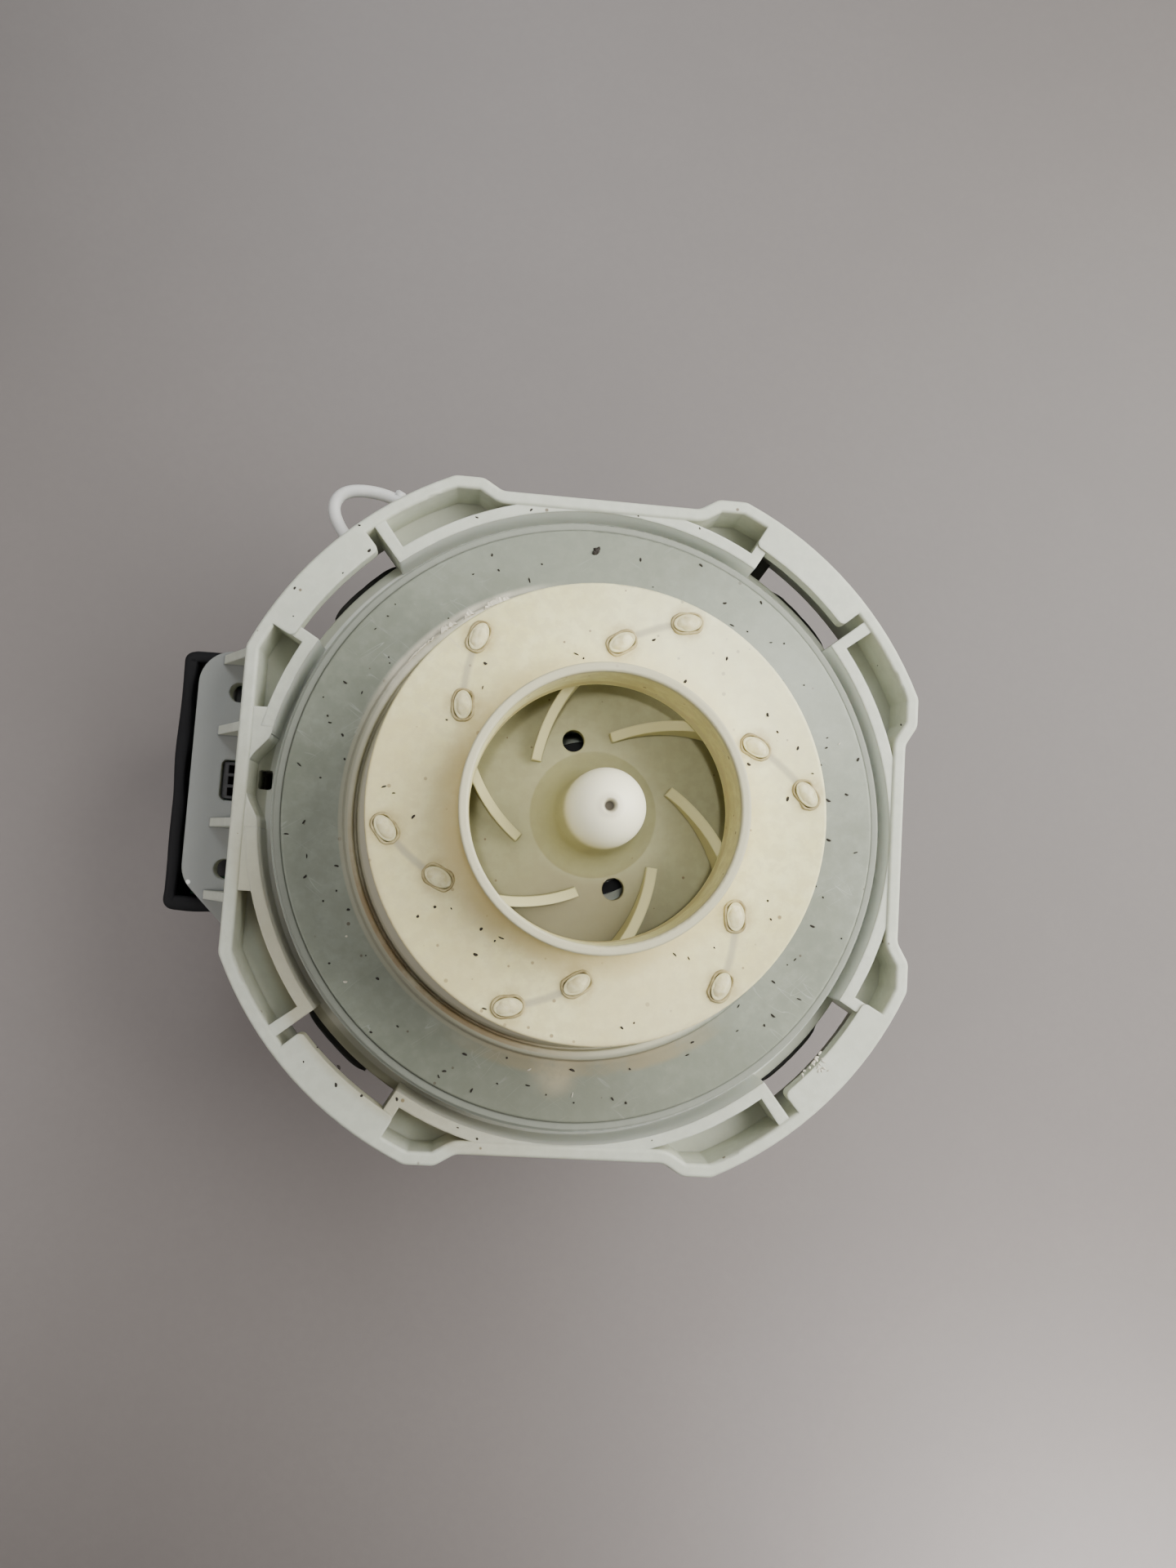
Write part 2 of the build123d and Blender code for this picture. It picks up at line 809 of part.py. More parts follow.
finish(race(outer_race_inner, bearing_outer, front_bearing_bottom), "front_bearing_outer_race")
finish(race(inner_race_bore, inner_race_outer, front_bearing_bottom), "front_bearing_inner_race")
finish(ball_set(front_bearing_bottom, ball_radius), "front_bearing_balls")
finish(cage(front_bearing_bottom), "front_bearing_cage")
finish(race(outer_race_inner, bearing_outer, rear_bearing_bottom), "rear_bearing_outer_race")
finish(race(inner_race_bore, inner_race_outer, rear_bearing_bottom), "rear_bearing_inner_race")
finish(ball_set(rear_bearing_bottom, ball_radius), "rear_bearing_balls")
finish(cage(rear_bearing_bottom), "rear_bearing_cage")

# Coned spring washer under the rear bearing, high side towards the shaft
ledge_top = rear_bearing_bottom - spring_washer_gap
washer_low = ledge_top + seat_clearance
washer_high = rear_bearing_bottom - seat_clearance
with BuildPart() as bearing_spring_washer:
    with BuildSketch(Plane.XZ):
        Polygon(
            (washer_outer, washer_low),
            (washer_outer, washer_low + spring_washer_thickness),
            (washer_inner, washer_high),
            (washer_inner, washer_high - spring_washer_thickness),
            align=None,
        )
    revolve(axis=Axis.Z)
finish(bearing_spring_washer.part, "bearing_spring_washer")

# Mechanical seal
cup_bottom = seat_bottom
cup_top = seat_bottom + seat_cup_height
seat_radius = seat_cup_radius - seat_cup_wall
face_bottom = cup_top + face_gap
face_top = face_bottom + face_height
flange_of_bellows = face_top + bellows_wall
with BuildPart() as seal_seat_cup:
    with BuildSketch(Plane.XZ):
        with BuildLine():
            Polyline(
                (seat_cup_bore, cup_bottom),
                (seat_cup_radius, cup_bottom),
                (seat_cup_radius, cup_top),
                (seat_radius, cup_top),
                (seat_radius, cup_bottom + cup_floor),
                (seat_cup_bore, cup_bottom + cup_floor),
                close=True,
            )
        make_face()
    revolve(axis=Axis.Z)
finish(seal_seat_cup.part, "seal_seat_cup")

with BuildPart() as seal_seat:
    with BuildSketch(Plane.XY.offset(cup_bottom + cup_floor)):
        Circle(seat_radius)
        Circle(seat_bore, mode=Mode.SUBTRACT)
    extrude(amount=cup_top - cup_bottom - cup_floor)
finish(seal_seat.part, "seal_seat")

with BuildPart() as seal_face_ring:
    with BuildSketch(Plane.XY.offset(face_bottom)):
        Circle(face_radius)
        Circle(face_inner, mode=Mode.SUBTRACT)
    extrude(amount=face_height)
    chamfer(seal_face_ring.faces().sort_by(Axis.Z)[0].outer_wire().edges(), edge_round)
finish(seal_face_ring.part, "seal_face_ring")

with BuildPart() as seal_bellows:
    with BuildSketch(Plane.XZ):
        with BuildLine():
            Polyline(
                (shaft_radius + seat_clearance, face_top),
                (face_radius, face_top),
                (face_radius, flange_of_bellows),
                (shaft_radius + seat_clearance + bellows_wall, flange_of_bellows),
                (shaft_radius + seat_clearance + bellows_wall, face_top + bellows_height),
                (shaft_radius + seat_clearance, face_top + bellows_height),
                close=True,
            )
        make_face()
    revolve(axis=Axis.Z)
finish(seal_bellows.part, "seal_bellows")

spring_bottom = flange_of_bellows + spring_wire / 2 + seat_clearance
spring_height = hub_bottom - spring_wire / 2 - seat_clearance - spring_bottom
with BuildPart() as seal_spring:
    with BuildLine(Plane.XY.offset(spring_bottom)) as spring_path:
        Helix(spring_height / spring_turns, spring_height, spring_radius)
    with BuildSketch(Plane(origin=spring_path.line @ 0, z_dir=spring_path.line % 0)):
        Circle(spring_wire / 2)
    sweep(path=spring_path.line, is_frenet=True)
finish(seal_spring.part, "seal_spring")

# Rotor
magnet_inner = rotor_core_radius + seat_clearance
magnet_outer = magnet_inner + magnet_thickness
sleeve_inner = magnet_outer + seat_clearance
rotor_radius = sleeve_inner + sleeve_thickness
with BuildPart() as rotor_core:
    with BuildSketch(Plane.XY.offset(stack_bottom)):
        Circle(rotor_core_radius)
        Circle(shaft_core_radius + seat_clearance, mode=Mode.SUBTRACT)
        with PolarLocations(rotor_hole_ring_radius, magnet_count):
            Circle(rotor_hole_radius, mode=Mode.SUBTRACT)
    extrude(amount=stack_height)
finish(rotor_core.part, "rotor_core")

with BuildPart() as rotor_magnets:
    with BuildSketch(Plane.XY.offset(stack_bottom)):
        with PolarLocations(0, magnet_count):
            add(ring_sector(magnet_inner, magnet_outer, 0, magnet_angle))
    extrude(amount=stack_height)
finish(rotor_magnets.part, "rotor_magnets")

with BuildPart() as rotor_sleeve:
    with BuildSketch(Plane.XY.offset(stack_bottom)):
        Circle(rotor_radius)
        Circle(sleeve_inner, mode=Mode.SUBTRACT)
    extrude(amount=stack_height)
finish(rotor_sleeve.part, "rotor_sleeve")

# Stator
stator_bore = rotor_radius + running_gap
shoe_outer = stator_bore + shoe_thickness
guard_outer = stator_radius - guard_inset + guard_thickness
tooth_turns = [index * 360 / tooth_count for index in range(tooth_count)]


def tooth_rows(inner, outer, width):
    with BuildSketch() as rows:
        with PolarLocations((inner + outer) / 2, tooth_count):
            Rectangle(outer - inner, width)
    return rows.sketch


def shoe_rows(inner, outer, angle):
    with BuildSketch() as rows:
        with PolarLocations(0, tooth_count):
            add(ring_sector(inner, outer, -angle / 2, angle / 2))
    return rows.sketch


with BuildPart() as stator_core:
    with BuildSketch(Plane.XY.offset(stack_bottom)):
        Circle(stator_radius)
        Circle(yoke_inner, mode=Mode.SUBTRACT)
        add(tooth_rows(shoe_outer - tooth_lap, yoke_inner + tooth_lap, tooth_width))
        add(shoe_rows(stator_bore, shoe_outer, shoe_angle))
    extrude(amount=stack_height)
finish(stator_core.part, "stator_core")

with BuildPart() as stator_insulators:
    for plate_z, plate_way in [(stack_top, 1), (stack_bottom, -1)]:
        with BuildSketch(Plane.XY.offset(plate_z)):
            Circle(guard_outer + guard_thickness)
            Circle(yoke_inner - seat_clearance, mode=Mode.SUBTRACT)
            add(tooth_rows(shoe_outer - tooth_lap, yoke_inner + tooth_lap, tooth_width))
            add(shoe_rows(stator_bore + loose_clearance, shoe_outer, insulator_shoe_angle))
        extrude(amount=plate_way * insulator_thickness)
        with BuildSketch(Plane.XY.offset(plate_z)):
            Circle(guard_outer)
            Circle(guard_outer - guard_thickness, mode=Mode.SUBTRACT)
        extrude(amount=plate_way * guard_height)
        with BuildSketch(Plane.XY.offset(plate_z)):
            add(shoe_rows(shoe_outer - guard_thickness, shoe_outer, insulator_shoe_angle))
        extrude(amount=plate_way * shoe_guard_height)
finish(stator_insulators.part, "stator_insulators")

coil_hole_width = tooth_width + 2 * loose_clearance
coil_hole_height = stack_height + 2 * insulator_thickness
with BuildPart() as stator_coils:
    for turn in tooth_turns:
        along_tooth = Vector(*polar(1, turn))
        tooth_start = along_tooth * coil_inner + Vector(0, 0, stack_bottom + stack_height / 2)
        with BuildSketch(Plane(origin=tooth_start, x_dir=(0, 0, 1), z_dir=along_tooth)):
            RectangleRounded(
                coil_hole_height + 2 * coil_overhang,
                coil_hole_width + 2 * coil_thickness,
                coil_thickness,
            )
            Rectangle(coil_hole_height, coil_hole_width, mode=Mode.SUBTRACT)
        extrude(amount=coil_outer - coil_inner)
finish(stator_coils.part, "stator_coils")

# Motor housing
box_screw_ys = [box_screw_y, -box_screw_y]
rear_ear_centres = [polar(rear_ear_ring_radius, diagonal) for diagonal in diagonals]
with BuildPart() as motor_housing:
    with BuildSketch(Plane.XY.offset(housing_bottom)):
        Circle(housing_radius)
    extrude(amount=housing_top - housing_bottom)
    # Ribs down the outside
    with BuildSketch(Plane.XY.offset(housing_rib_start)):
        with PolarLocations(housing_radius, housing_rib_count, 360 / housing_rib_count / 2):
            Rectangle(2 * housing_rib_height, housing_rib_width)
    extrude(amount=flange_bottom - housing_rib_start)
    # Flange with its index ear
    with BuildSketch(Plane.XY.offset(flange_bottom)):
        Circle(flange_radius)
        add(ring_sector(flange_radius - wall, ear_radius, diagonals[0] + ear_start, diagonals[0] + ear_end))
    extrude(amount=flange_top - flange_bottom)
    # Tongues and ear standing on the flange
    with BuildSketch(Plane.XY.offset(flange_bottom)):
        for diagonal in diagonals:
            add(
                ring_sector(
                    flange_radius - tongue_thickness,
                    flange_radius,
                    diagonal + window_start,
                    diagonal + tongue_end,
                )
            )
        add(ring_sector(ear_inner, ear_radius, diagonals[0] + ear_start, diagonals[0] + ear_end))
    extrude(amount=tongue_top - flange_bottom)
    # Left side cut flat for the terminal box
    with BuildSketch(Plane.XY.offset(flange_bottom)):
        with Locations((-flange_radius, plate_centre_y)):
            Rectangle(
                2 * (flange_radius - flange_flat),
                2 * (box_half_length + box_wall),
            )
    extrude(amount=tongue_top - flange_bottom, mode=Mode.SUBTRACT)
    # Pad behind the terminal box
    with BuildSketch(Plane.XY.offset(pad_bottom)):
        with Locations((-box_right / 2, 0)):
            Rectangle(box_right, 2 * pad_half_length)
    extrude(amount=pad_top - pad_bottom)
    # Ears for the rear cover
    with BuildSketch(Plane.XY.offset(housing_bottom)):
        with Locations(*rear_ear_centres):
            Circle(rear_ear_radius)
        with PolarLocations(housing_radius, len(diagonals), diagonals[0]):
            Rectangle(2 * rear_ear_radius, 2 * rear_ear_radius)
    extrude(amount=rear_ear_height)
    # Bore with the ledge under the stator
    with BuildSketch(Plane.XY.offset(stack_bottom)):
        Circle(housing_inner)
    extrude(amount=housing_top - stack_bottom, mode=Mode.SUBTRACT)
    with BuildSketch(Plane.XY.offset(housing_bottom)):
        Circle(spigot_radius)
    extrude(amount=stack_bottom - housing_bottom, mode=Mode.SUBTRACT)
    # Screw holes
    with BuildSketch(Plane.XY.offset(flange_bottom)):
        with Locations(*boss_centres):
            Circle(screw_hole_radius)
    extrude(amount=flange_top - flange_bottom, mode=Mode.SUBTRACT)
    with BuildSketch(Plane.XY.offset(housing_bottom)):
        with Locations(*rear_ear_centres):
            Circle(screw_pilot_radius)
    extrude(amount=screw_thread_length + loose_clearance, mode=Mode.SUBTRACT)
    with BuildSketch(Plane.YZ.offset(-box_right)):
        with Locations(*[(y, box_screw_height) for y in box_screw_ys]):
            Circle(screw_pilot_radius)
    extrude(amount=box_screw_length - box_wall + loose_clearance, mode=Mode.SUBTRACT)
    # Slot for the busbar guide
    with BuildSketch(Plane.YZ.offset(-box_right)):
        with Locations((0, busbar_height)):
            Rectangle(guide_length, guide_height)
    extrude(amount=box_right - spigot_radius + wall, mode=Mode.SUBTRACT)
finish(motor_housing.part, "motor_housing")

# Rear cover with the rear bearing seat
with BuildPart() as rear_cover:
    with BuildSketch(Plane.XZ):
        with BuildLine():
            Polyline(
                (0, 0),
                (housing_radius, 0),
                (housing_radius, housing_bottom),
                (spigot_radius - seat_clearance, housing_bottom),
                (spigot_radius - seat_clearance, housing_bottom + spigot_height),
                (rear_rim, housing_bottom + spigot_height),
                (rear_rim, rear_floor),
                (bearing_outer + bearing_seat_wall, rear_floor),
                (bearing_outer + bearing_seat_wall, rear_bearing_top),
                (bearing_outer + seat_clearance, rear_bearing_top),
                (bearing_outer + seat_clearance, ledge_top),
                (rear_ledge_radius, ledge_top),
                (rear_ledge_radius, rear_floor),
                (0, rear_floor),
                close=True,
            )
        make_face()
    revolve(axis=Axis.Z)
    with BuildSketch(Plane.XY):
        with Locations(*rear_ear_centres):
            Circle(rear_ear_radius)
        with PolarLocations(housing_radius, len(diagonals), diagonals[0]):
            Rectangle(2 * rear_ear_radius, 2 * rear_ear_radius)
        Circle(rear_rim, mode=Mode.SUBTRACT)
    extrude(amount=housing_bottom)
    with BuildSketch(Plane.XY):
        with Locations(*rear_ear_centres):
            Circle(screw_hole_radius)
    extrude(amount=housing_bottom, mode=Mode.SUBTRACT)
    with BuildSketch(Plane.XY):
        with Locations(*rear_ear_centres):
            Circle(screw_head_radius + loose_clearance)
    extrude(amount=rear_head_recess, mode=Mode.SUBTRACT)
    # Shallow pockets between ribs on the rear face
    with BuildSketch(Plane.XY):
        Circle(housing_radius - rear_recess_margin)
        Circle(rear_recess_inner, mode=Mode.SUBTRACT)
        with PolarLocations(housing_radius / 2, rear_rib_count):
            Rectangle(housing_radius, rear_rib_width, mode=Mode.SUBTRACT)
    extrude(amount=rear_recess, mode=Mode.SUBTRACT)
finish(rear_cover.part, "rear_cover")


# Screws, all of one pattern: a flat round head with a cross recess and a plain shank
def screw(length):
    with BuildPart() as fastener:
        with BuildSketch(Plane.XY.offset(-screw_head_height)):
            Circle(screw_head_radius)
        extrude(amount=screw_head_height)
        chamfer(fastener.edges().group_by(Axis.Z)[0], screw_head_height / 4)
        with BuildSketch(Plane.XY):
            Circle(screw_pilot_radius - seat_clearance)
        extrude(amount=length)
        with BuildSketch(Plane.XY.offset(-screw_head_height)):
            Rectangle(screw_head_radius, screw_slot)
            Rectangle(screw_slot, screw_head_radius)
        extrude(amount=screw_head_height / 2, mode=Mode.SUBTRACT)
    return fastener.part


rear_shank = housing_bottom - rear_head_recess + screw_thread_length
rear_cover_screws = Part() + [
    Location((x, y, rear_head_recess)) * screw(rear_shank) for x, y in rear_ear_centres
]
finish(rear_cover_screws, "rear_cover_screws")

bracket_shank = flange_top - flange_bottom + screw_thread_length
bracket_screws = Part() + [
    Location((x, y, flange_bottom)) * screw(bracket_shank) for x, y in boss_centres
]
finish(bracket_screws, "bracket_screws")

box_screws = Part() + [
    Location((-box_right - box_wall, y, box_screw_height), (0, 90, 0))
    * screw(box_screw_length)
    for y in box_screw_ys
]
finish(box_screws, "box_screws")

# Terminal box
box_middle_x = -(box_left + box_right) / 2
box_width = box_left - box_right
box_length = 2 * box_half_length
post_middle_x = box_middle_x + board_post_shift
post_xs = [post_middle_x - board_post_offset, post_middle_x + board_post_offset]
post_ys = [
    plate_centre_y + box_half_length - box_wall - board_post_inset,
    plate_centre_y - box_half_length + box_wall + board_post_inset,
]
with BuildPart() as terminal_box:
    with BuildSketch(Plane.XY.offset(box_bottom)):
        with Locations((box_middle_x, plate_centre_y)):
            RectangleRounded(box_width, box_length, box_corner)
    extrude(amount=box_top - box_bottom)
    with BuildSketch(Plane.XY.offset(box_bottom + box_wall)):
        with Locations((box_middle_x, plate_centre_y)):
            Rectangle(box_width - 2 * box_wall, box_length - 2 * box_wall)
    extrude(amount=box_top - box_bottom, mode=Mode.SUBTRACT)
    with BuildSketch(Plane.XY.offset(box_bottom + box_wall)):
        with Locations(*[(x, y) for x in post_xs for y in post_ys]):
            Circle(board_post_radius)
    extrude(amount=board_height - box_bottom - box_wall)
    with BuildSketch(Plane.YZ.offset(-box_right)):
        with Locations(*[(y, box_screw_height) for y in box_screw_ys]):
            Circle(screw_hole_radius)
        with Locations((0, busbar_height)):
            Rectangle(guide_length, guide_height)
    extrude(amount=-box_wall, mode=Mode.SUBTRACT)
finish(terminal_box.part, "terminal_box")

with BuildPart() as box_gasket:
    with BuildSketch(Plane.XY.offset(box_top)):
        with Locations((box_middle_x, plate_centre_y)):
            RectangleRounded(box_width, box_length, box_corner)
            RectangleRounded(
                box_width - 2 * gasket_width,
                box_length - 2 * gasket_width,
                box_corner / 2,
                mode=Mode.SUBTRACT,
            )
    extrude(amount=gasket_height)
finish(box_gasket.part, "box_gasket")

# Control board and what stands on it
board_top = board_height + board_thickness
board_width = box_width - 2 * (box_wall + board_gap)
board_length = box_length - 2 * (box_wall + board_gap)
header_width = plate_window_width - 2 * loose_clearance
header_length = plate_window_length - 2 * loose_clearance
header_top = plate_top - header_drop
busbar_ys = [(index - 1) * busbar_pitch for index in range(busbar_count)]
pin_ys = [plate_centre_y + (index - 1) * pin_pitch for index in range(pin_count)]
with BuildPart() as control_board:
    with BuildSketch(Plane.XY.offset(board_height)):
        with Locations((box_middle_x, plate_centre_y)):
            Rectangle(board_width, board_length)
        with Locations(*[(plate_window_x, y) for y in pin_ys]):
            Rectangle(pin_width + 2 * seat_clearance, pin_width + 2 * seat_clearance, mode=Mode.SUBTRACT)
        with Locations(*[(busbar_rise_x, y) for y in busbar_ys]):
            Rectangle(
                busbar_thickness + 2 * busbar_slot_gap,
                busbar_width + 2 * busbar_slot_gap,
                mode=Mode.SUBTRACT,
            )
    extrude(amount=board_thickness)
finish(control_board.part, "control_board")

with BuildPart() as board_capacitors:
    with BuildSketch(Plane.XZ.offset(-capacitor_y)):
        with Locations((box_middle_x, board_top + capacitor_radius)):
            with GridLocations(2 * capacitor_offset, 0, 2, 1):
                Circle(capacitor_radius)
    extrude(amount=capacitor_length / 2, both=True)
finish(board_capacitors.part, "board_capacitors")

with BuildPart() as power_module:
    with BuildSketch(Plane.XY.offset(board_top)):
        with Locations((box_middle_x, module_y)):
            RectangleRounded(module_length, module_width, cap_corner)
    extrude(amount=module_height)
finish(power_module.part, "power_module")

with BuildPart() as connector_header:
    with BuildSketch(Plane.XY.offset(board_top)):
        with Locations((plate_window_x, plate_centre_y)):
            RectangleRounded(header_width, header_length, cap_corner / 2)
    extrude(amount=header_top - board_top)
    with BuildSketch(Plane.XY.offset(header_top - pin_pocket_depth)):
        with Locations(*[(plate_window_x, y) for y in pin_ys]):
            Rectangle(header_width - 2 * pin_width, pin_pocket)
    extrude(amount=pin_pocket_depth, mode=Mode.SUBTRACT)
    with BuildSketch(Plane.XY.offset(board_top)):
        with Locations(*[(plate_window_x, y) for y in pin_ys]):
            Rectangle(pin_width + 2 * seat_clearance, pin_width + 2 * seat_clearance)
    extrude(amount=header_top - board_top, mode=Mode.SUBTRACT)
finish(connector_header.part, "connector_header")

with BuildPart() as contact_pins:
    with BuildSketch(Plane.XY.offset(board_height - pin_width)):
        with Locations(*[(plate_window_x, y) for y in pin_ys]):
            Rectangle(pin_width, pin_width)
    extrude(amount=header_top - pin_drop - board_height + pin_width)
finish(contact_pins.part, "contact_pins")

# Busbars from the board to the stator and the guide they pass through
with BuildPart() as phase_busbars:
    for busbar_y in busbar_ys:
        with BuildSketch(Plane.XZ.offset(-busbar_y)):
            Polygon(
                (busbar_rise_x - busbar_thickness / 2, busbar_height - busbar_thickness / 2),
                (busbar_end_x, busbar_height - busbar_thickness / 2),
                (busbar_end_x, busbar_height + busbar_thickness / 2),
                (busbar_rise_x + busbar_thickness / 2, busbar_height + busbar_thickness / 2),
                (busbar_rise_x + busbar_thickness / 2, board_top + busbar_above_board),
                (busbar_rise_x - busbar_thickness / 2, board_top + busbar_above_board),
                align=None,
            )
        extrude(amount=busbar_width / 2, both=True)
finish(phase_busbars.part, "phase_busbars")

guide_end_x = -spigot_radius - guide_inset
with BuildPart() as busbar_guide:
    with BuildSketch(Plane.YZ.offset(guide_end_x)):
        with Locations((0, busbar_height)):
            Rectangle(guide_length - 2 * seat_clearance, guide_height - 2 * seat_clearance)
    extrude(amount=-(box_right + box_wall + guide_end_x))
    with BuildSketch(Plane.YZ.offset(guide_end_x)):
        with Locations(*[(y, busbar_height) for y in busbar_ys]):
            Rectangle(busbar_width + 2 * seat_clearance, busbar_thickness + 2 * seat_clearance)
    extrude(amount=-(box_right + box_wall + guide_end_x), mode=Mode.SUBTRACT)
finish(busbar_guide.part, "busbar_guide")
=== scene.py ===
import math

import bmesh
import bpy
from mathutils import Matrix, Vector, noise


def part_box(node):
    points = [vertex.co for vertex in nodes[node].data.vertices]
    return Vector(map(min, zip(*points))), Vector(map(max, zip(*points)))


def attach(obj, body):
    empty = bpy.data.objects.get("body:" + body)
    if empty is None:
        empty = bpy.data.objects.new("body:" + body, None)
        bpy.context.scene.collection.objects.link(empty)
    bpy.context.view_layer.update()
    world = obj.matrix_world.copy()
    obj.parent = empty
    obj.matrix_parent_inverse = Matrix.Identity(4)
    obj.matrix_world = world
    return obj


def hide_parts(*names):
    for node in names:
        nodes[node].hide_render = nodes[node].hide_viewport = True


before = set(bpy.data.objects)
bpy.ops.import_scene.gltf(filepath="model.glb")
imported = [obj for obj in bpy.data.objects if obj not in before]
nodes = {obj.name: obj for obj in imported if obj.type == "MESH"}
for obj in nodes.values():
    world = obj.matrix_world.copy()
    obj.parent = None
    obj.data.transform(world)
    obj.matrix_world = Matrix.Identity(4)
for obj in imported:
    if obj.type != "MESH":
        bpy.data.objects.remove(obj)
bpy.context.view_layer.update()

mm = 0.001
print("frame loaded:", len(nodes), "nodes")


# Places that the looks are measured from, in millimetres
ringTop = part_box("impeller_shroud")[1].z / mm
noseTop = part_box("impeller_back_plate")[1].z / mm
discTop = 66.0
backPlateTop = 81.8
shroudTop = 90.5
collarTop = 63.6
channelFloor = 56.0


# Small tools for node trees
def plug(tree, value, socket):
    if isinstance(value, bpy.types.NodeSocket):
        tree.links.new(value, socket)
    elif socket.type == "RGBA" and len(value) == 3:
        socket.default_value = (*value, 1)
    else:
        socket.default_value = value


def addNode(tree, kind, wires=None, **settings):
    node = tree.nodes.new(kind)
    for key, value in settings.items():
        setattr(node, key, value)
    for key, value in (wires or {}).items():
        plug(tree, value, node.inputs[key])
    return node


def nodeOut(tree, kind, wires=None, **settings):
    return addNode(tree, kind, wires, **settings).outputs[0]


def calc(tree, operation, *values):
    return nodeOut(tree, "ShaderNodeMath", dict(enumerate(values)), operation=operation)


def times(tree, one, two):
    return calc(tree, "MULTIPLY", one, two)


def vectorCalc(tree, operation, wires):
    return nodeOut(tree, "ShaderNodeVectorMath", wires, operation=operation)


def noisePattern(tree, place, scale, output=0, **more):
    wires = {"Vector": place, "Scale": scale, **more}
    return addNode(tree, "ShaderNodeTexNoise", wires).outputs[output]


def ramp(tree, value, low, high):
    wires = {"Value": value, "From Min": low, "From Max": high}
    return nodeOut(tree, "ShaderNodeMapRange", wires, interpolation_type="SMOOTHSTEP")


def band(tree, value, low, high, soft):
    rise = ramp(tree, value, low - soft, low + soft)
    fall = ramp(tree, value, high + soft, high - soft)
    return times(tree, rise, fall)


def mixColour(tree, mask, first, second):
    node = tree.nodes.new("ShaderNodeMix")
    node.data_type = "RGBA"
    for index, value in ((0, mask), (6, first), (7, second)):
        plug(tree, value, node.inputs[index])
    return node.outputs[2]


def newGroup(name, inputs, outputs=("Mask",), kind="NodeSocketFloat"):
    tree = bpy.data.node_groups.new(name, "ShaderNodeTree")
    for label, value in inputs.items():
        socket = tree.interface.new_socket(label, in_out="INPUT", socket_type="NodeSocketFloat")
        socket.default_value = value
    for label in outputs:
        tree.interface.new_socket(label, in_out="OUTPUT", socket_type=kind)
    return tree, tree.nodes.new("NodeGroupInput").outputs, tree.nodes.new("NodeGroupOutput").inputs


def useGroup(tree, group, **values):
    node = tree.nodes.new("ShaderNodeGroup")
    node.node_tree = group
    for label, value in values.items():
        plug(tree, value, node.inputs[label])
    return node.outputs


def objectPlace(tree):
    return tree.nodes.new("ShaderNodeTexCoord").outputs["Object"]


# Effects that many finishes share
def makeShaftPlace():
    tree, _, out = newGroup("shaftPlace", {}, ("Radius", "Angle", "Height", "X", "Y"))
    scaled = vectorCalc(tree, "SCALE", {0: objectPlace(tree), "Scale": 1 / mm})
    parts = addNode(tree, "ShaderNodeSeparateXYZ", {0: scaled}).outputs
    squares = calc(tree, "ADD", times(tree, parts[0], parts[0]), times(tree, parts[1], parts[1]))
    plug(tree, calc(tree, "SQRT", squares), out["Radius"])
    plug(tree, calc(tree, "DEGREES", calc(tree, "ARCTAN2", parts[1], parts[0])), out["Angle"])
    plug(tree, parts[2], out["Height"])
    plug(tree, parts[0], out["X"])
    plug(tree, parts[1], out["Y"])
    return tree


def makeMouldedSurface():
    inputs = {
        "Grain Size": 0.5, "Grain Depth": 0.02, "Wave Size": 9.0, "Wave Depth": 0.05, "Edge Radius": 0.3
    }
    tree, given, out = newGroup("mouldedSurface", inputs, ("Normal",), "NodeSocketVector")
    edge = addNode(tree, "ShaderNodeBevel", {"Radius": times(tree, given["Edge Radius"], mm)}, samples=3)
    normal = edge.outputs[0]
    for kind, detail in (("Wave", 1.0), ("Grain", 4.0)):
        size = calc(tree, "DIVIDE", 1 / mm, given[kind + " Size"])
        pattern = noisePattern(tree, objectPlace(tree), size, Detail=detail)
        height = times(tree, pattern, times(tree, given[kind + " Depth"], mm))
        bump = addNode(tree, "ShaderNodeBump", {"Height": height, "Distance": 1.0, "Normal": normal})
        normal = bump.outputs[0]
    plug(tree, normal, out["Normal"])
    return tree


def makeCloudPatches():
    tree, given, out = newGroup("cloudPatches", {"Size": 8.0, "Cover": 0.5, "Softness": 0.15, "Shift": 0.0})
    shifted = vectorCalc(tree, "ADD", {0: objectPlace(tree), 1: given["Shift"]})
    pattern = noisePattern(
        tree, shifted, calc(tree, "DIVIDE", 1 / mm, given["Size"]), Detail=6.0, Roughness=0.6
    )
    middle = calc(tree, "SUBTRACT", 1.0, given["Cover"])
    low = calc(tree, "SUBTRACT", middle, given["Softness"])
    high = calc(tree, "ADD", middle, given["Softness"])
    plug(tree, ramp(tree, pattern, low, high), out["Mask"])
    return tree


def makeFineSpecks():
    tree, given, out = newGroup("fineSpecks", {"Spacing": 1.5, "Size": 0.2, "Share": 0.3})
    wires = {"Vector": objectPlace(tree), "Scale": calc(tree, "DIVIDE", 1 / mm, given["Spacing"])}
    cells = addNode(tree, "ShaderNodeTexVoronoi", wires)
    random = addNode(tree, "ShaderNodeSeparateColor", {0: cells.outputs["Color"]}).outputs
    chosen = calc(tree, "LESS_THAN", random[0], given["Share"])
    reach = times(
        tree, calc(tree, "DIVIDE", given["Size"], given["Spacing"]), calc(tree, "ADD", random[1], 0.4)
    )
    dot = ramp(tree, cells.outputs["Distance"], reach, times(tree, reach, 0.6))
    plug(tree, times(tree, dot, chosen), out["Mask"])
    return tree


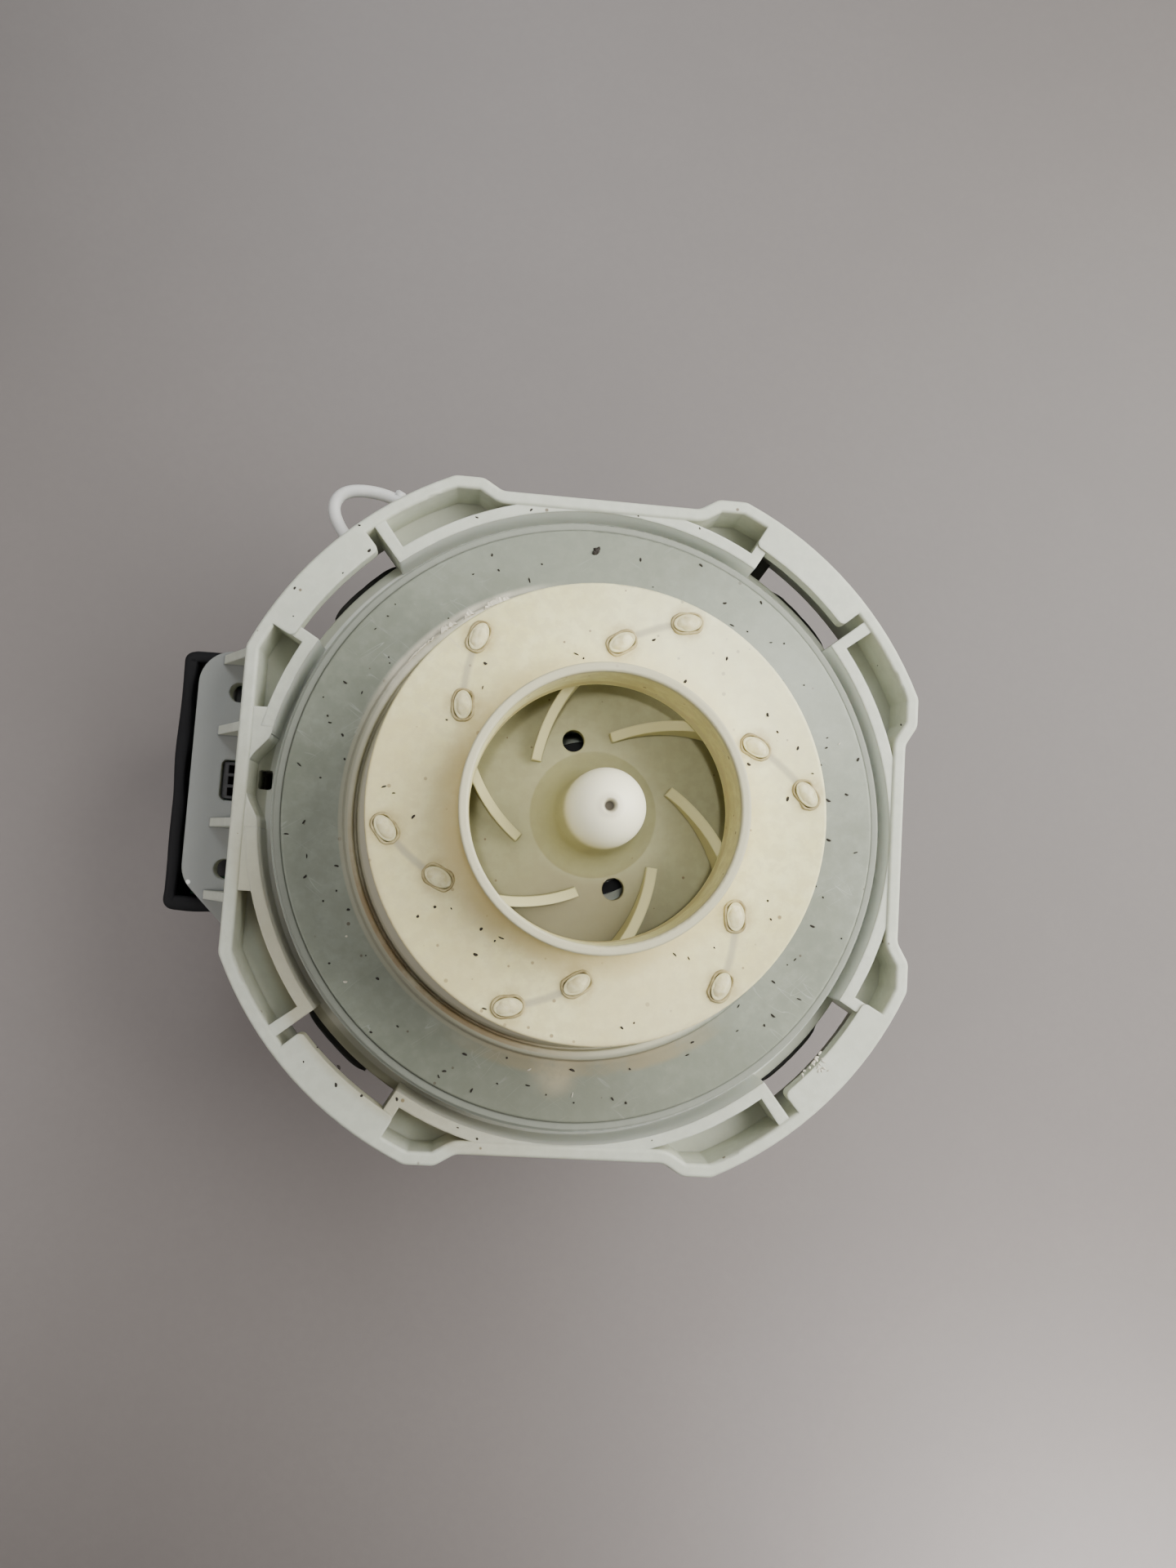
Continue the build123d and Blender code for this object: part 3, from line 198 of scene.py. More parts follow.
def makeFineScratches():
    tree, given, out = newGroup("fineScratches", {"Length": 14.0, "Width": 0.05, "Turn": 0.6})
    mask = 0.0
    for turn, shift in ((0.0, 0.0), (1.9, 3.7)):
        angle = calc(tree, "ADD", given["Turn"], turn)
        spin = addNode(
            tree, "ShaderNodeVectorRotate", {"Vector": objectPlace(tree), "Angle": angle},
            rotation_type="Z_AXIS",
        )
        stretch = vectorCalc(tree, "MULTIPLY", {0: spin.outputs[0], 1: (1.0, 9.0, 3.0)})
        moved = vectorCalc(tree, "ADD", {0: stretch, 1: (shift, shift, 0)})
        pattern = noisePattern(tree, moved, calc(tree, "DIVIDE", 1 / mm, given["Length"]), Detail=2.0)
        away = calc(tree, "ABSOLUTE", calc(tree, "SUBTRACT", pattern, 0.5))
        width = calc(tree, "DIVIDE", given["Width"], 6.0)
        mask = calc(tree, "MAXIMUM", mask, ramp(tree, away, width, 0.0))
    gaps = noisePattern(tree, objectPlace(tree), 140.0)
    plug(tree, times(tree, mask, ramp(tree, gaps, 0.52, 0.66)), out["Mask"])
    return tree


# Darkening where ambient occlusion finds corners and crevices: grime on most finishes, painted shade in the
# bracket's pockets and corners
def makeCornerDirtAndShade():
    tree, given, out = newGroup("cornerDirtAndShade", {"Reach": 2.0, "Patchiness": 0.5})
    wires = {"Distance": times(tree, given["Reach"], mm)}
    shade = addNode(tree, "ShaderNodeAmbientOcclusion", wires, samples=3, only_local=True).outputs["AO"]
    corner = ramp(tree, shade, 0.85, 0.35)
    patches = noisePattern(tree, objectPlace(tree), 260.0, Detail=4.0)
    thin = calc(tree, "SUBTRACT", 1.0, times(tree, given["Patchiness"], ramp(tree, patches, 0.6, 0.4)))
    plug(tree, times(tree, corner, thin), out["Mask"])
    return tree


def makeEdgeWear():
    tree, given, out = newGroup("edgeWear", {"Reach": 0.4})
    rounded = addNode(tree, "ShaderNodeBevel", {"Radius": times(tree, given["Reach"], mm)}, samples=3)
    straight = tree.nodes.new("ShaderNodeNewGeometry").outputs["Normal"]
    match = addNode(
        tree, "ShaderNodeVectorMath", {0: rounded.outputs[0], 1: straight}, operation="DOT_PRODUCT"
    )
    edge = ramp(tree, match.outputs["Value"], 0.98, 0.8)
    shade = addNode(
        tree, "ShaderNodeAmbientOcclusion", {"Distance": 1.2 * mm}, samples=2, only_local=True
    ).outputs["AO"]
    plug(tree, times(tree, edge, ramp(tree, shade, 0.7, 0.95)), out["Mask"])
    return tree


shaftPlace = makeShaftPlace()
mouldedSurface = makeMouldedSurface()
cloudPatches = makeCloudPatches()
fineSpecks = makeFineSpecks()
fineScratches = makeFineScratches()
cornerDirtAndShade = makeCornerDirtAndShade()
edgeWear = makeEdgeWear()
print("shared effects made")


# A finish starts with a plain shader, gets layers, and is closed with its bump
def startFinish(name, look):
    material = bpy.data.materials.new(name)
    material.use_nodes = True
    tree = material.node_tree
    tree.nodes.clear()
    shader = tree.nodes.new("ShaderNodeBsdfPrincipled")
    tree.links.new(shader.outputs[0], tree.nodes.new("ShaderNodeOutputMaterial").inputs[0])
    shader.inputs["Metallic"].default_value = look.get("metallic", 0.0)
    shader.inputs["Specular IOR Level"].default_value = look.get("specular", 0.5)
    shader.inputs["Subsurface Weight"].default_value = look.get("glow", 0.0)
    shader.inputs["Subsurface Scale"].default_value = 1.5 * mm
    shader.inputs["Subsurface Radius"].default_value = (1.0, 0.8, 0.5)
    return {
        "material": material,
        "tree": tree,
        "shader": shader,
        "colour": look["colour"],
        "roughness": look.get("roughness", 0.5),
        "place": useGroup(tree, shaftPlace),
    }


def layer(kit, mask, amount, colour, roughness=None):
    tree = kit["tree"]
    strength = times(tree, mask, amount)
    kit["colour"] = mixColour(tree, strength, kit["colour"], colour)
    if roughness is not None:
        step = calc(tree, "SUBTRACT", roughness, kit["roughness"])
        kit["roughness"] = calc(tree, "ADD", kit["roughness"], times(tree, strength, step))


def closeFinish(kit, look):
    tree = kit["tree"]
    values = {
        "Grain Size": look.get("grainSize", 0.5),
        "Grain Depth": look.get("grainDepth", 0.02),
        "Wave Size": look.get("waveSize", 9.0),
        "Wave Depth": look.get("waveDepth", 0.05),
        "Edge Radius": look.get("edge", 0.3),
    }
    plug(tree, kit["colour"], kit["shader"].inputs["Base Color"])
    plug(tree, kit["roughness"], kit["shader"].inputs["Roughness"])
    plug(tree, useGroup(tree, mouldedSurface, **values)[0], kit["shader"].inputs["Normal"])
    return kit["material"]


def inSector(kit, middle, half, soft):
    tree = kit["tree"]
    turn = calc(tree, "WRAP", calc(tree, "SUBTRACT", kit["place"]["Angle"], middle), 180.0, -180.0)
    return ramp(tree, calc(tree, "ABSOLUTE", turn), half + soft, half - soft)


def awayFrom(tree, x, y, middleX, middleY):
    sides = [
        calc(tree, "POWER", calc(tree, "SUBTRACT", here, there), 2.0)
        for here, there in ((x, middleX), (y, middleY))
    ]
    return calc(tree, "SQRT", calc(tree, "ADD", *sides))


def inSpot(kit, x, y, size, soft):
    tree = kit["tree"]
    return ramp(tree, awayFrom(tree, kit["place"]["X"], kit["place"]["Y"], x, y), size + soft, size - soft)


def within(kit, side, low, high, soft=0.1):
    return band(kit["tree"], kit["place"][side], low, high, soft)


def both(kit, *masks):
    result = masks[0]
    for mask in masks[1:]:
        result = times(kit["tree"], result, mask)
    return result


def stainAndShadeMask(kit, stainAndShade):
    # Each stain or patch of painted light and shade lies in bands or on ramps of the place round the shaft,
    # in a sector, at a spot or in patches.
    # Its paint is amount, colour and, where it has its own, roughness.
    tree, place = kit["tree"], kit["place"]
    masks = [within(kit, side, *span) for side, span in stainAndShade.get("bands", {}).items()]
    masks += [ramp(tree, place[side], *span) for side, span in stainAndShade.get("ramps", {}).items()]
    if "sector" in stainAndShade:
        masks.append(inSector(kit, *stainAndShade["sector"]))
    if "spot" in stainAndShade:
        masks.append(inSpot(kit, *stainAndShade["spot"]))
    if "patches" in stainAndShade:
        masks.append(useGroup(tree, cloudPatches, **stainAndShade["patches"])[0])
    return both(kit, *masks)


def addStainsAndShading(kit, stainsAndShading):
    for stainAndShade in stainsAndShading.values():
        layer(kit, stainAndShadeMask(kit, stainAndShade), *stainAndShade["paint"])


# Layers of a finish in their order: effect, settings, amount and roughness, where a look says nothing else
plasticLayers = {
    "cloud": (cloudPatches, {"Size": 22.0, "Cover": 0.5, "Softness": 0.16}, 0.6, 0.6),
    "mottle": (cloudPatches, {"Size": 3.0, "Cover": 0.45, "Softness": 0.2, "Shift": 0.4}, 0.35, None),
    "grit": (cloudPatches, {"Size": 1.7, "Cover": 0.5, "Softness": 0.1, "Shift": 0.7}, 0.35, 0.6),
    "speck": (fineSpecks, {"Spacing": 1.5, "Size": 0.2, "Share": 0.3}, 0.9, None),
    "scratch": (fineScratches, {"Length": 14.0, "Width": 0.05}, 0.5, 0.4),
    "dirt": (cornerDirtAndShade, {"Reach": 2.5, "Patchiness": 0.6}, 0.6, 0.75),
    "wear": (edgeWear, {"Reach": 0.5}, 0.5, 0.35),
}
metalLayers = {
    "cloud": (cloudPatches, {"Size": 6.0, "Cover": 0.45, "Softness": 0.2}, 0.4, 0.5),
    "scratch": (fineScratches, {"Length": 6.0, "Width": 0.08}, 0.4, 0.25),
    "dirt": (cornerDirtAndShade, {"Reach": 0.8, "Patchiness": 0.5}, 0.6, 0.7),
}
metalStart = {
    "metallic": 1.0,
    "scratchColour": (0.8, 0.8, 0.8),
    "dirtColour": (0.05, 0.045, 0.04),
    "grainSize": 0.25, "grainDepth": 0.006, "waveDepth": 0.0, "edge": 0.15,
}


def makeFinish(name, look, layers, details):
    kit = startFinish(name, look)
    for kind, (group, settings, amount, roughness) in layers.items():
        if kind + "Colour" in look:
            values = {label: look.get(kind + label, value) for label, value in settings.items()}
            amount = look.get(kind + "Amount", amount)
            roughness = look.get(kind + "Roughness", roughness)
            mask = useGroup(kit["tree"], group, **values)[0]
            layer(kit, mask, amount, look[kind + "Colour"], roughness)
    addStainsAndShading(kit, look.get("stainsAndShading", {}))
    if details:
        details(kit)
    return closeFinish(kit, look)


def agedPlastic(name, look, details=None):
    return makeFinish(name, {"gritColour": look["cloudColour"], **look}, plasticLayers, details)


def turnedMetal(name, look, details):
    return makeFinish(name, {**metalStart, **look}, metalLayers, details)


# Front bracket: greenish white, dull, with painted shade in the pockets and corners and on the terminal
# plate, painted light in the channel, and paler rubbed edges
bracketLook = {
    "colour": (0.62, 0.645, 0.545), "roughness": 0.42, "glow": 0.12,
    "cloudColour": (0.53, 0.555, 0.45),
    "mottleColour": (0.58, 0.59, 0.48), "mottleAmount": 0.3,
    "gritColour": (0.49, 0.51, 0.42),
    "speckColour": (0.16, 0.12, 0.07), "speckSpacing": 3.0, "speckSize": 0.3, "speckShare": 0.25,
    "scratchColour": (0.52, 0.52, 0.45),
    # Corner darkening here is painted shade, the olive tint the pockets and inner walls take in shade
    "dirtColour": (0.42, 0.40, 0.29), "dirtAmount": 0.45, "dirtReach": 3.0,
    "wearColour": (0.84, 0.86, 0.80),
    "grainSize": 0.45, "grainDepth": 0.012, "waveDepth": 0.12, "edge": 0.45,
    "stainsAndShading": {
        # Painted shade: faces below the channel floor made darker and greyer
        "lowFacesShade": {
            "bands": {"Height": (40.0, channelFloor + 0.3, 0.2)}, "paint": (0.4, (0.50, 0.51, 0.43), 0.6),
        },
        # Painted light: the shaded channel between the disc and the ring rib made pale
        "channelPaintedLight": {
            "bands": {"Height": (40.0, collarTop - 0.6, 0.3), "Radius": (43.0, 48.35, 0.12)},
            "paint": (0.95, (0.84, 0.86, 0.80), 0.55),
        },
        "lowerLeft": {
            "bands": {"Radius": (46.0, 52.0, 1.0)}, "sector": (-138.0, 40.0, 24.0),
            "paint": (0.4, (0.36, 0.28, 0.12), 0.6),
        },
        # Painted shade: the top of the terminal plate, which lies below the collar, darkened to grey
        "terminalPlateShade": {
            "bands": {"X": (-80.0, -52.2, 0.2), "Height": (49.8, 50.4, 0.1)},
            "paint": (0.9, (0.225, 0.235, 0.228), 0.55),
        },
        "paleSpot": {"spot": (-60.4, -13.1, 0.35, 0.1), "paint": (0.9, (0.9, 0.9, 0.86))},
    },
}


# Pump cover: bluish white, cloudy and scratched, browned near the low ring at the lower left
ringPatches = {"Size": 5.0, "Cover": 0.6, "Softness": 0.2, "Shift": 0.9}
coverLook = {
    "colour": (0.265, 0.287, 0.225), "roughness": 0.38, "glow": 0.1,
    "cloudColour": (0.185, 0.203, 0.15), "cloudSize": 16.0, "cloudAmount": 0.8,
    "mottleColour": (0.35, 0.372, 0.305), "mottleSize": 2.4, "mottleAmount": 0.3,
    "gritColour": (0.20, 0.22, 0.17),
    "speckColour": (0.10, 0.08, 0.05), "speckSpacing": 2.4, "speckSize": 0.28, "speckShare": 0.26,
    "scratchColour": (0.55, 0.57, 0.52), "scratchLength": 30.0, "scratchWidth": 0.03, "scratchAmount": 0.3,
    "dirtColour": (0.30, 0.28, 0.19), "dirtAmount": 0.25, "dirtReach": 1.2,
    "wearColour": (0.50, 0.53, 0.48), "wearAmount": 0.15,
    "grainSize": 0.35, "grainDepth": 0.01, "edge": 0.35,
    "stainsAndShading": {
        # Painted light: the cover's skirt down in the shaded channel made pale
        "skirtPaintedLight": {
            "bands": {"Radius": (45.6, 47.0, 0.1)}, "ramps": {"Height": (discTop - 2.4, discTop - 3.0)},
            "paint": (0.9, (0.62, 0.65, 0.58), 0.5),
        },
        # Painted light: the cover under the impeller, in its shade, made pale
        "underImpellerPaintedLight": {
            "bands": {"Radius": (24.0, 34.6, 0.3)}, "ramps": {"Height": (60.0, 61.0)},
            "paint": (0.85, (0.58, 0.555, 0.40)),
        },
        "brownLine": {
            "bands": {"Radius": (33.4, 34.5, 0.15)}, "sector": (-135.0, 40.0, 22.0), "patches": ringPatches,
            "paint": (0.8, (0.26, 0.165, 0.06), 0.5),
        },
        "lowRing": {
            "bands": {"Radius": (34.6, 36.0, 0.15)}, "sector": (205.0, 85.0, 25.0),
            "paint": (0.7, (0.38, 0.36, 0.255)),
        },
        "ringFoot": {
            "bands": {"Radius": (35.2, 37.6, 0.5)}, "sector": (-85.0, 26.0, 14.0), "patches": ringPatches,
            "paint": (0.6, (0.36, 0.27, 0.12)),
        },
        # Painted shade on the disc at the bottom and the top, and painted light at the upper right
        **{
            name: {
                "bands": {"Radius": (35.5, 45.0, 0.5)}, "sector": (middle, half, 24.0),
                "paint": (0.5, tone),
            }
            for name, middle, half, tone in (
                ("discShadeLow", -92.0, 24.0, (0.16, 0.165, 0.12)),
                ("discShadeTop", 98.0, 22.0, (0.195, 0.21, 0.16)),
                ("discPaintedLightUpperRight", 38.0, 20.0, (0.42, 0.45, 0.38)),
            )
        },
        "yellowSpot": {
            "spot": (-1.7, -37.2, 2.4, 2.2), "patches": ringPatches, "paint": (0.6, (0.50, 0.42, 0.26)),
        },
        "creamScale": {
            "bands": {"Radius": (33.6, 36.2, 0.4)}, "sector": (130.0, 24.0, 10.0), "patches": ringPatches,
            "paint": (0.7, (0.78, 0.73, 0.58)),
        },
        # Painted light: the cover's raised face under the impeller's rim, in its shade, made pale
        "domePaintedLight": {
            "bands": {"Height": (discTop + 1.5, 90.0, 0.3), "Radius": (26.0, 34.0, 0.3)},
            "paint": (0.8, (0.70, 0.65, 0.50), 0.5),
        },
    },
}


# Impeller: the cream shroud, and the olive plate with yellow vanes and a white nose
shroudFace = {"Height": (shroudTop - 1.0, shroudTop + 1.2, 0.3)}
nearRing = {"Radius": (22.5, 18.2)}
shroudPatches = {"Size": 6.0, "Cover": 0.62, "Softness": 0.3, "Shift": 0.5}
shroudLook = {
    "colour": (0.86, 0.825, 0.45), "roughness": 0.5, "glow": 0.18,
    "cloudColour": (0.72, 0.66, 0.30), "cloudSize": 11.0, "cloudAmount": 0.75,
    "mottleColour": (0.88, 0.85, 0.55), "mottleSize": 2.0, "mottleAmount": 0.4,
    "gritColour": (0.66, 0.60, 0.32), "gritAmount": 0.5,
    "speckColour": (0.20, 0.13, 0.06), "speckSpacing": 1.5, "speckSize": 0.26, "speckShare": 0.24,
    "scratchColour": (0.60, 0.54, 0.40), "scratchAmount": 0.35,
    "dirtColour": (0.56, 0.46, 0.24), "dirtAmount": 0.4, "dirtReach": 1.2,
    "wearColour": (0.86, 0.83, 0.72), "wearAmount": 0.35,
    "grainSize": 0.4, "grainDepth": 0.012, "edge": 0.3,
    "stainsAndShading": {
        # Painted light: the shroud's face paler on the right and at the bottom
        "shroudPaintedLightRight": {
            "bands": shroudFace, "sector": (50.0, 35.0, 30.0), "paint": (0.5, (0.97, 0.95, 0.68)),
        },
        "shroudPaintedLightLow": {
            "bands": shroudFace, "sector": (-68.0, 12.0, 30.0), "paint": (0.35, (0.97, 0.95, 0.68)),
        },
        "brownRing": {
            "bands": shroudFace, "ramps": nearRing, "sector": (215.0, 80.0, 50.0), "patches": shroudPatches,
            "paint": (0.95, (0.38, 0.27, 0.08), 0.6),
        },
        "yellowed": {
            "bands": shroudFace, "sector": (235.0, 90.0, 40.0), "patches": shroudPatches,
            "paint": (0.5, (0.70, 0.60, 0.30)),
        },
        "ringFoot": {"bands": shroudFace, "ramps": nearRing, "paint": (0.4, (0.52, 0.41, 0.17))},
        "ringTop": {
            "ramps": {"Height": (ringTop - 1.4, ringTop - 0.3)}, "paint": (0.85, (0.48, 0.455, 0.32), 0.52),
        },
        # Painted shade: the inner face of the ring darker on the right, the side turned away from the light
        "boreShadeRight": {
            "ramps": {"Radius": (16.4, 16.1)}, "sector": (0.0, 95.0, 35.0),
            "paint": (0.4, (0.60, 0.53, 0.33)),
        },
    },
}
# Painted shade: grey lines where the vanes' shadows show through the shroud
vaneShadowLine = {
    "x": 13.1, "y": 4.0, "radius": 21.5, "pitch": 60.0, "first": 60.0,
    "colour": (0.34, 0.31, 0.24),
    "stakes": [(22.1, 86.1), (27.2, 68.5)],
    "stakePatches": {"Size": 1.6, "Cover": 0.6, "Softness": 0.25, "Shift": 0.2},
    "stakeColour": (0.40, 0.29, 0.11),
    "stakeFade": (3.2, 1.6), "fade": (0.75, 0.15), "span": (23.0, 26.6, 0.5),
}
shroudRim = {
    "brownEdge": {
        "ramps": {"Radius": (28.8, 29.7)}, "sector": (-120.0, 70.0, 40.0),
        "paint": (0.45, (0.58, 0.48, 0.28)),
    }
}


def shroudDetails(kit):
    # Each vane shows through the shroud as a faint grey line of painted shade, its shadow through the
    # plastic, between its two browned stakes
    tree, place, look = kit["tree"], kit["place"], vaneShadowLine
    onFace = within(kit, "Height", *shroudFace["Height"])
    turned = calc(tree, "WRAP", place["Angle"], look["first"] + look["pitch"], look["first"])
    angle = calc(tree, "RADIANS", turned)
    x = times(tree, place["Radius"], calc(tree, "COSINE", angle))
    y = times(tree, place["Radius"], calc(tree, "SINE", angle))
    patchy = useGroup(tree, cloudPatches, **look["stakePatches"])[0]
    for ring, start in look["stakes"]:
        centre = (ring * math.cos(math.radians(start)), ring * math.sin(math.radians(start)))
        around = awayFrom(tree, x, y, *centre)
        near = ramp(tree, around, *look["stakeFade"])
        layer(kit, both(kit, near, patchy, onFace), 0.5, look["stakeColour"], 0.55)
    away = awayFrom(tree, x, y, look["x"], look["y"])
    offLine = calc(tree, "ABSOLUTE", calc(tree, "SUBTRACT", away, look["radius"]))
    line = both(kit, ramp(tree, offLine, *look["fade"]), within(kit, "Radius", *look["span"]), onFace)
    layer(kit, line, 0.6, look["colour"])
    addStainsAndShading(kit, shroudRim)


noseSide = {"Height": (noseTop - 5.0, noseTop - 4.0)}
stakeTops = {
    "bands": {"Height": (shroudTop - 0.6, shroudTop + 1.0, 0.2)}, "ramps": {"Radius": (19.0, 20.0)}
}
plateLook = {
    "colour": (0.33, 0.32, 0.17), "roughness": 0.6, "glow": 0.12,
    "cloudColour": (0.275, 0.26, 0.13), "cloudSize": 8.0,
    "mottleColour": (0.37, 0.355, 0.20), "mottleAmount": 0.3,
    "gritColour": (0.25, 0.235, 0.12),
    "speckColour": (0.14, 0.09, 0.04), "speckSpacing": 1.8, "speckSize": 0.2, "speckShare": 0.2,
    "dirtColour": (0.34, 0.30, 0.17), "dirtAmount": 0.3, "dirtReach": 1.0,
    "grainSize": 0.4, "grainDepth": 0.012, "edge": 0.35,
    "stainsAndShading": {
        "vanes": {
            "ramps": {"Height": (backPlateTop + 0.1, backPlateTop + 0.6), "Radius": (8.8, 9.2)},
            "paint": (0.9, (0.66, 0.61, 0.33), 0.5),
        },
        # Painted light: a paler glow on the plate round the hub
        "paintedGlowRoundHub": {"ramps": {"Radius": (13.0, 6.5)}, "paint": (0.4, (0.45, 0.43, 0.25))},
        "nose": {
            "ramps": {"Radius": (7.0, 5.2), "Height": (noseTop - 9.0, noseTop - 3.5)},
            "paint": (0.95, (0.93, 0.89, 0.66), 0.4),
        },
        "dimpleEdge": {
            "bands": {"Radius": (0.6, 1.5, 0.4)}, "ramps": noseSide, "paint": (0.45, (0.50, 0.44, 0.30)),
        },
        "dimple": {
            "ramps": {"Radius": (0.85, 0.45), **noseSide}, "paint": (0.97, (0.035, 0.026, 0.015), 0.8),
        },
        "stakes": {**stakeTops, "paint": (0.9, (0.80, 0.74, 0.42), 0.6)},
        "stakePatches": {
            **stakeTops,
            "patches": {"Size": 1.6, "Cover": 0.5, "Softness": 0.2, "Shift": 0.8},
            "paint": (0.6, (0.60, 0.51, 0.26)),
        },
        # Painted shade: the plate darker at the bottom of the eye
        "plateShadeLowSide": {
            "ramps": {"Radius": (7.5, 10.0), "Height": (backPlateTop + 0.6, backPlateTop)},
            "sector": (-95.0, 40.0, 30.0), "paint": (0.75, (0.23, 0.20, 0.105)),
        },
        "chip": {
            "ramps": {"Height": (86.5, 87.5)}, "spot": (6.3, -9.7, 0.55, 0.15),
            "paint": (0.95, (0.95, 0.94, 0.9)),
        },
    },
}


# Black glass-filled plastic of the housing, rear cover and box
blackLook = {
    "colour": (0.018, 0.018, 0.019), "roughness": 0.46,
    "cloudColour": (0.030, 0.029, 0.028), "cloudSize": 18.0, "cloudRoughness": 0.6,
    "mottleColour": (0.024, 0.024, 0.024), "mottleSize": 1.2,
    "speckColour": (0.20, 0.19, 0.17), "speckSpacing": 4.5, "speckSize": 0.16, "speckShare": 0.25,
    "scratchColour": (0.07, 0.07, 0.07), "scratchAmount": 0.4,
    "dirtColour": (0.10, 0.09, 0.075), "dirtAmount": 0.5,
    "wearColour": (0.055, 0.055, 0.056), "wearAmount": 0.7,
    "grainSize": 0.3, "grainDepth": 0.016, "edge": 0.35,
}


housingStains = {
    "dust": {
        "bands": {"Height": (40.0, 60.0, 1.0)}, "patches": {"Size": 6.0, "Cover": 0.4},
        "paint": (0.3, (0.09, 0.085, 0.075), 0.8),
    }
}


def repeats(kit, value, pitch):
    return calc(kit["tree"], "FRACT", calc(kit["tree"], "DIVIDE", value, pitch))


def coilDetails(kit):
    # Turns of enamelled wire, one beside the other up the height of the coil
    turns = repeats(kit, kit["place"]["Height"], 0.75)
    gap = calc(kit["tree"], "ABSOLUTE", calc(kit["tree"], "SUBTRACT", turns, 0.5))
    layer(kit, ramp(kit["tree"], gap, 0.34, 0.5), 0.8, (0.12, 0.03, 0.01), 0.6)


def stackDetails(kit):
    # Thin steel sheets, stacked along the shaft
    sheets = repeats(kit, kit["place"]["Height"], 0.5)
    layer(kit, ramp(kit["tree"], sheets, 0.75, 0.95), 0.7, (0.10, 0.10, 0.11), 0.7)


def boardDetails(kit):
    # Slanting tracks under the green lacquer
    tree = kit["tree"]
    lines = repeats(kit, calc(tree, "ADD", kit["place"]["Y"], kit["place"]["X"]), 1.9)
    track = both(kit, ramp(tree, lines, 0.55, 0.62), ramp(tree, lines, 0.93, 0.86))
    layer(kit, track, 0.5, (0.03, 0.20, 0.09))


def plasticLook(colour, drift, **more):
    paler = tuple(min(1.0, value * (2 - drift)) for value in colour)
    darker = tuple(value * drift for value in colour)
    dirt = tuple(value * 0.4 for value in colour)
    return {"colour": colour, "cloudColour": darker, "mottleColour": paler, "dirtColour": dirt, **more}


plastics = {
    "agedBracket": bracketLook,
    "agedCover": coverLook,
    "creamShroud": shroudLook,
    "olivePlate": plateLook,
    "blackHousing": {**blackLook, "stainsAndShading": housingStains},
    "blackBox": {**blackLook, "colour": (0.008, 0.008, 0.009), "specular": 0.25, "grainSize": 0.4},
    "clipWhite": plasticLook((0.66, 0.66, 0.63), 0.92, roughness=0.42, glow=0.1, edge=0.1),
    "paleRubber": plasticLook(
        (0.265, 0.28, 0.23), 0.9, roughness=0.62, mottleSize=1.2, dirtColour=(0.20, 0.20, 0.16),
        dirtReach=0.8,
    ),
    "blackRubber": plasticLook(
        (0.009, 0.009, 0.010), 0.7, roughness=0.75, specular=0.2, waveSize=4.0, waveDepth=0.18,
        grainDepth=0.02,
    ),
    "whiteCeramic": plasticLook((0.82, 0.80, 0.74), 0.95, roughness=0.22, waveDepth=0.0, grainDepth=0.002),
    "carbonFace": plasticLook((0.03, 0.03, 0.032), 0.8, roughness=0.3, grainDepth=0.004),
    "insulatorWhite": plasticLook((0.70, 0.69, 0.62), 0.93, roughness=0.5),
    "cageNylon": plasticLook((0.42, 0.30, 0.14), 0.9, roughness=0.45, waveDepth=0.0),
    "connectorGrey": plasticLook((0.035, 0.035, 0.036), 0.8, roughness=0.5, dirtReach=0.8),
    "moduleBlack": plasticLook((0.02, 0.02, 0.02), 0.8, roughness=0.4),
    "guideBlack": plasticLook((0.03, 0.03, 0.03), 0.8, roughness=0.5),
    "boardGreen": plasticLook((0.02, 0.12, 0.05), 0.85, roughness=0.35, waveDepth=0.0),
    "magnetDark": plasticLook((0.07, 0.07, 0.075), 0.8, roughness=0.45, specular=0.7),
}
metals = {
    "copperWire": ((0.72, 0.27, 0.10), (0.60, 0.20, 0.07), 0.32),
    "stackedSteel": ((0.42, 0.42, 0.43), (0.28, 0.24, 0.20), 0.42),
    "bearingSteel": ((0.66, 0.66, 0.67), (0.55, 0.54, 0.53), 0.2),
    "shaftSteel": ((0.62, 0.62, 0.63), (0.5, 0.49, 0.47), 0.26),
    "springSteel": ((0.48, 0.48, 0.49), (0.36, 0.34, 0.32), 0.34),
    "sleeveSteel": ((0.58, 0.58, 0.59), (0.48, 0.47, 0.46), 0.3),
    "zincScrew": ((0.60, 0.58, 0.52), (0.42, 0.36, 0.26), 0.34),
    "contactBrass": ((0.72, 0.52, 0.22), (0.55, 0.38, 0.15), 0.3),
    "canAluminium": ((0.66, 0.67, 0.68), (0.56, 0.56, 0.57), 0.3),
}
moreDetails = {
    "creamShroud": shroudDetails,
    "boardGreen": boardDetails,
    "copperWire": coilDetails,
    "stackedSteel": stackDetails,
}
# Patches on the plating are smaller than on bare metal
metalClouds = {"zincScrew": {"cloudSize": 2.0}}
finishes = {name: agedPlastic(name, look, moreDetails.get(name)) for name, look in plastics.items()}
for name, (colour, cloudColour, roughness) in metals.items():
    look = {
        "colour": colour, "cloudColour": cloudColour, "roughness": roughness, **metalClouds.get(name, {})
    }
    finishes[name] = turnedMetal(name, look, moreDetails.get(name))

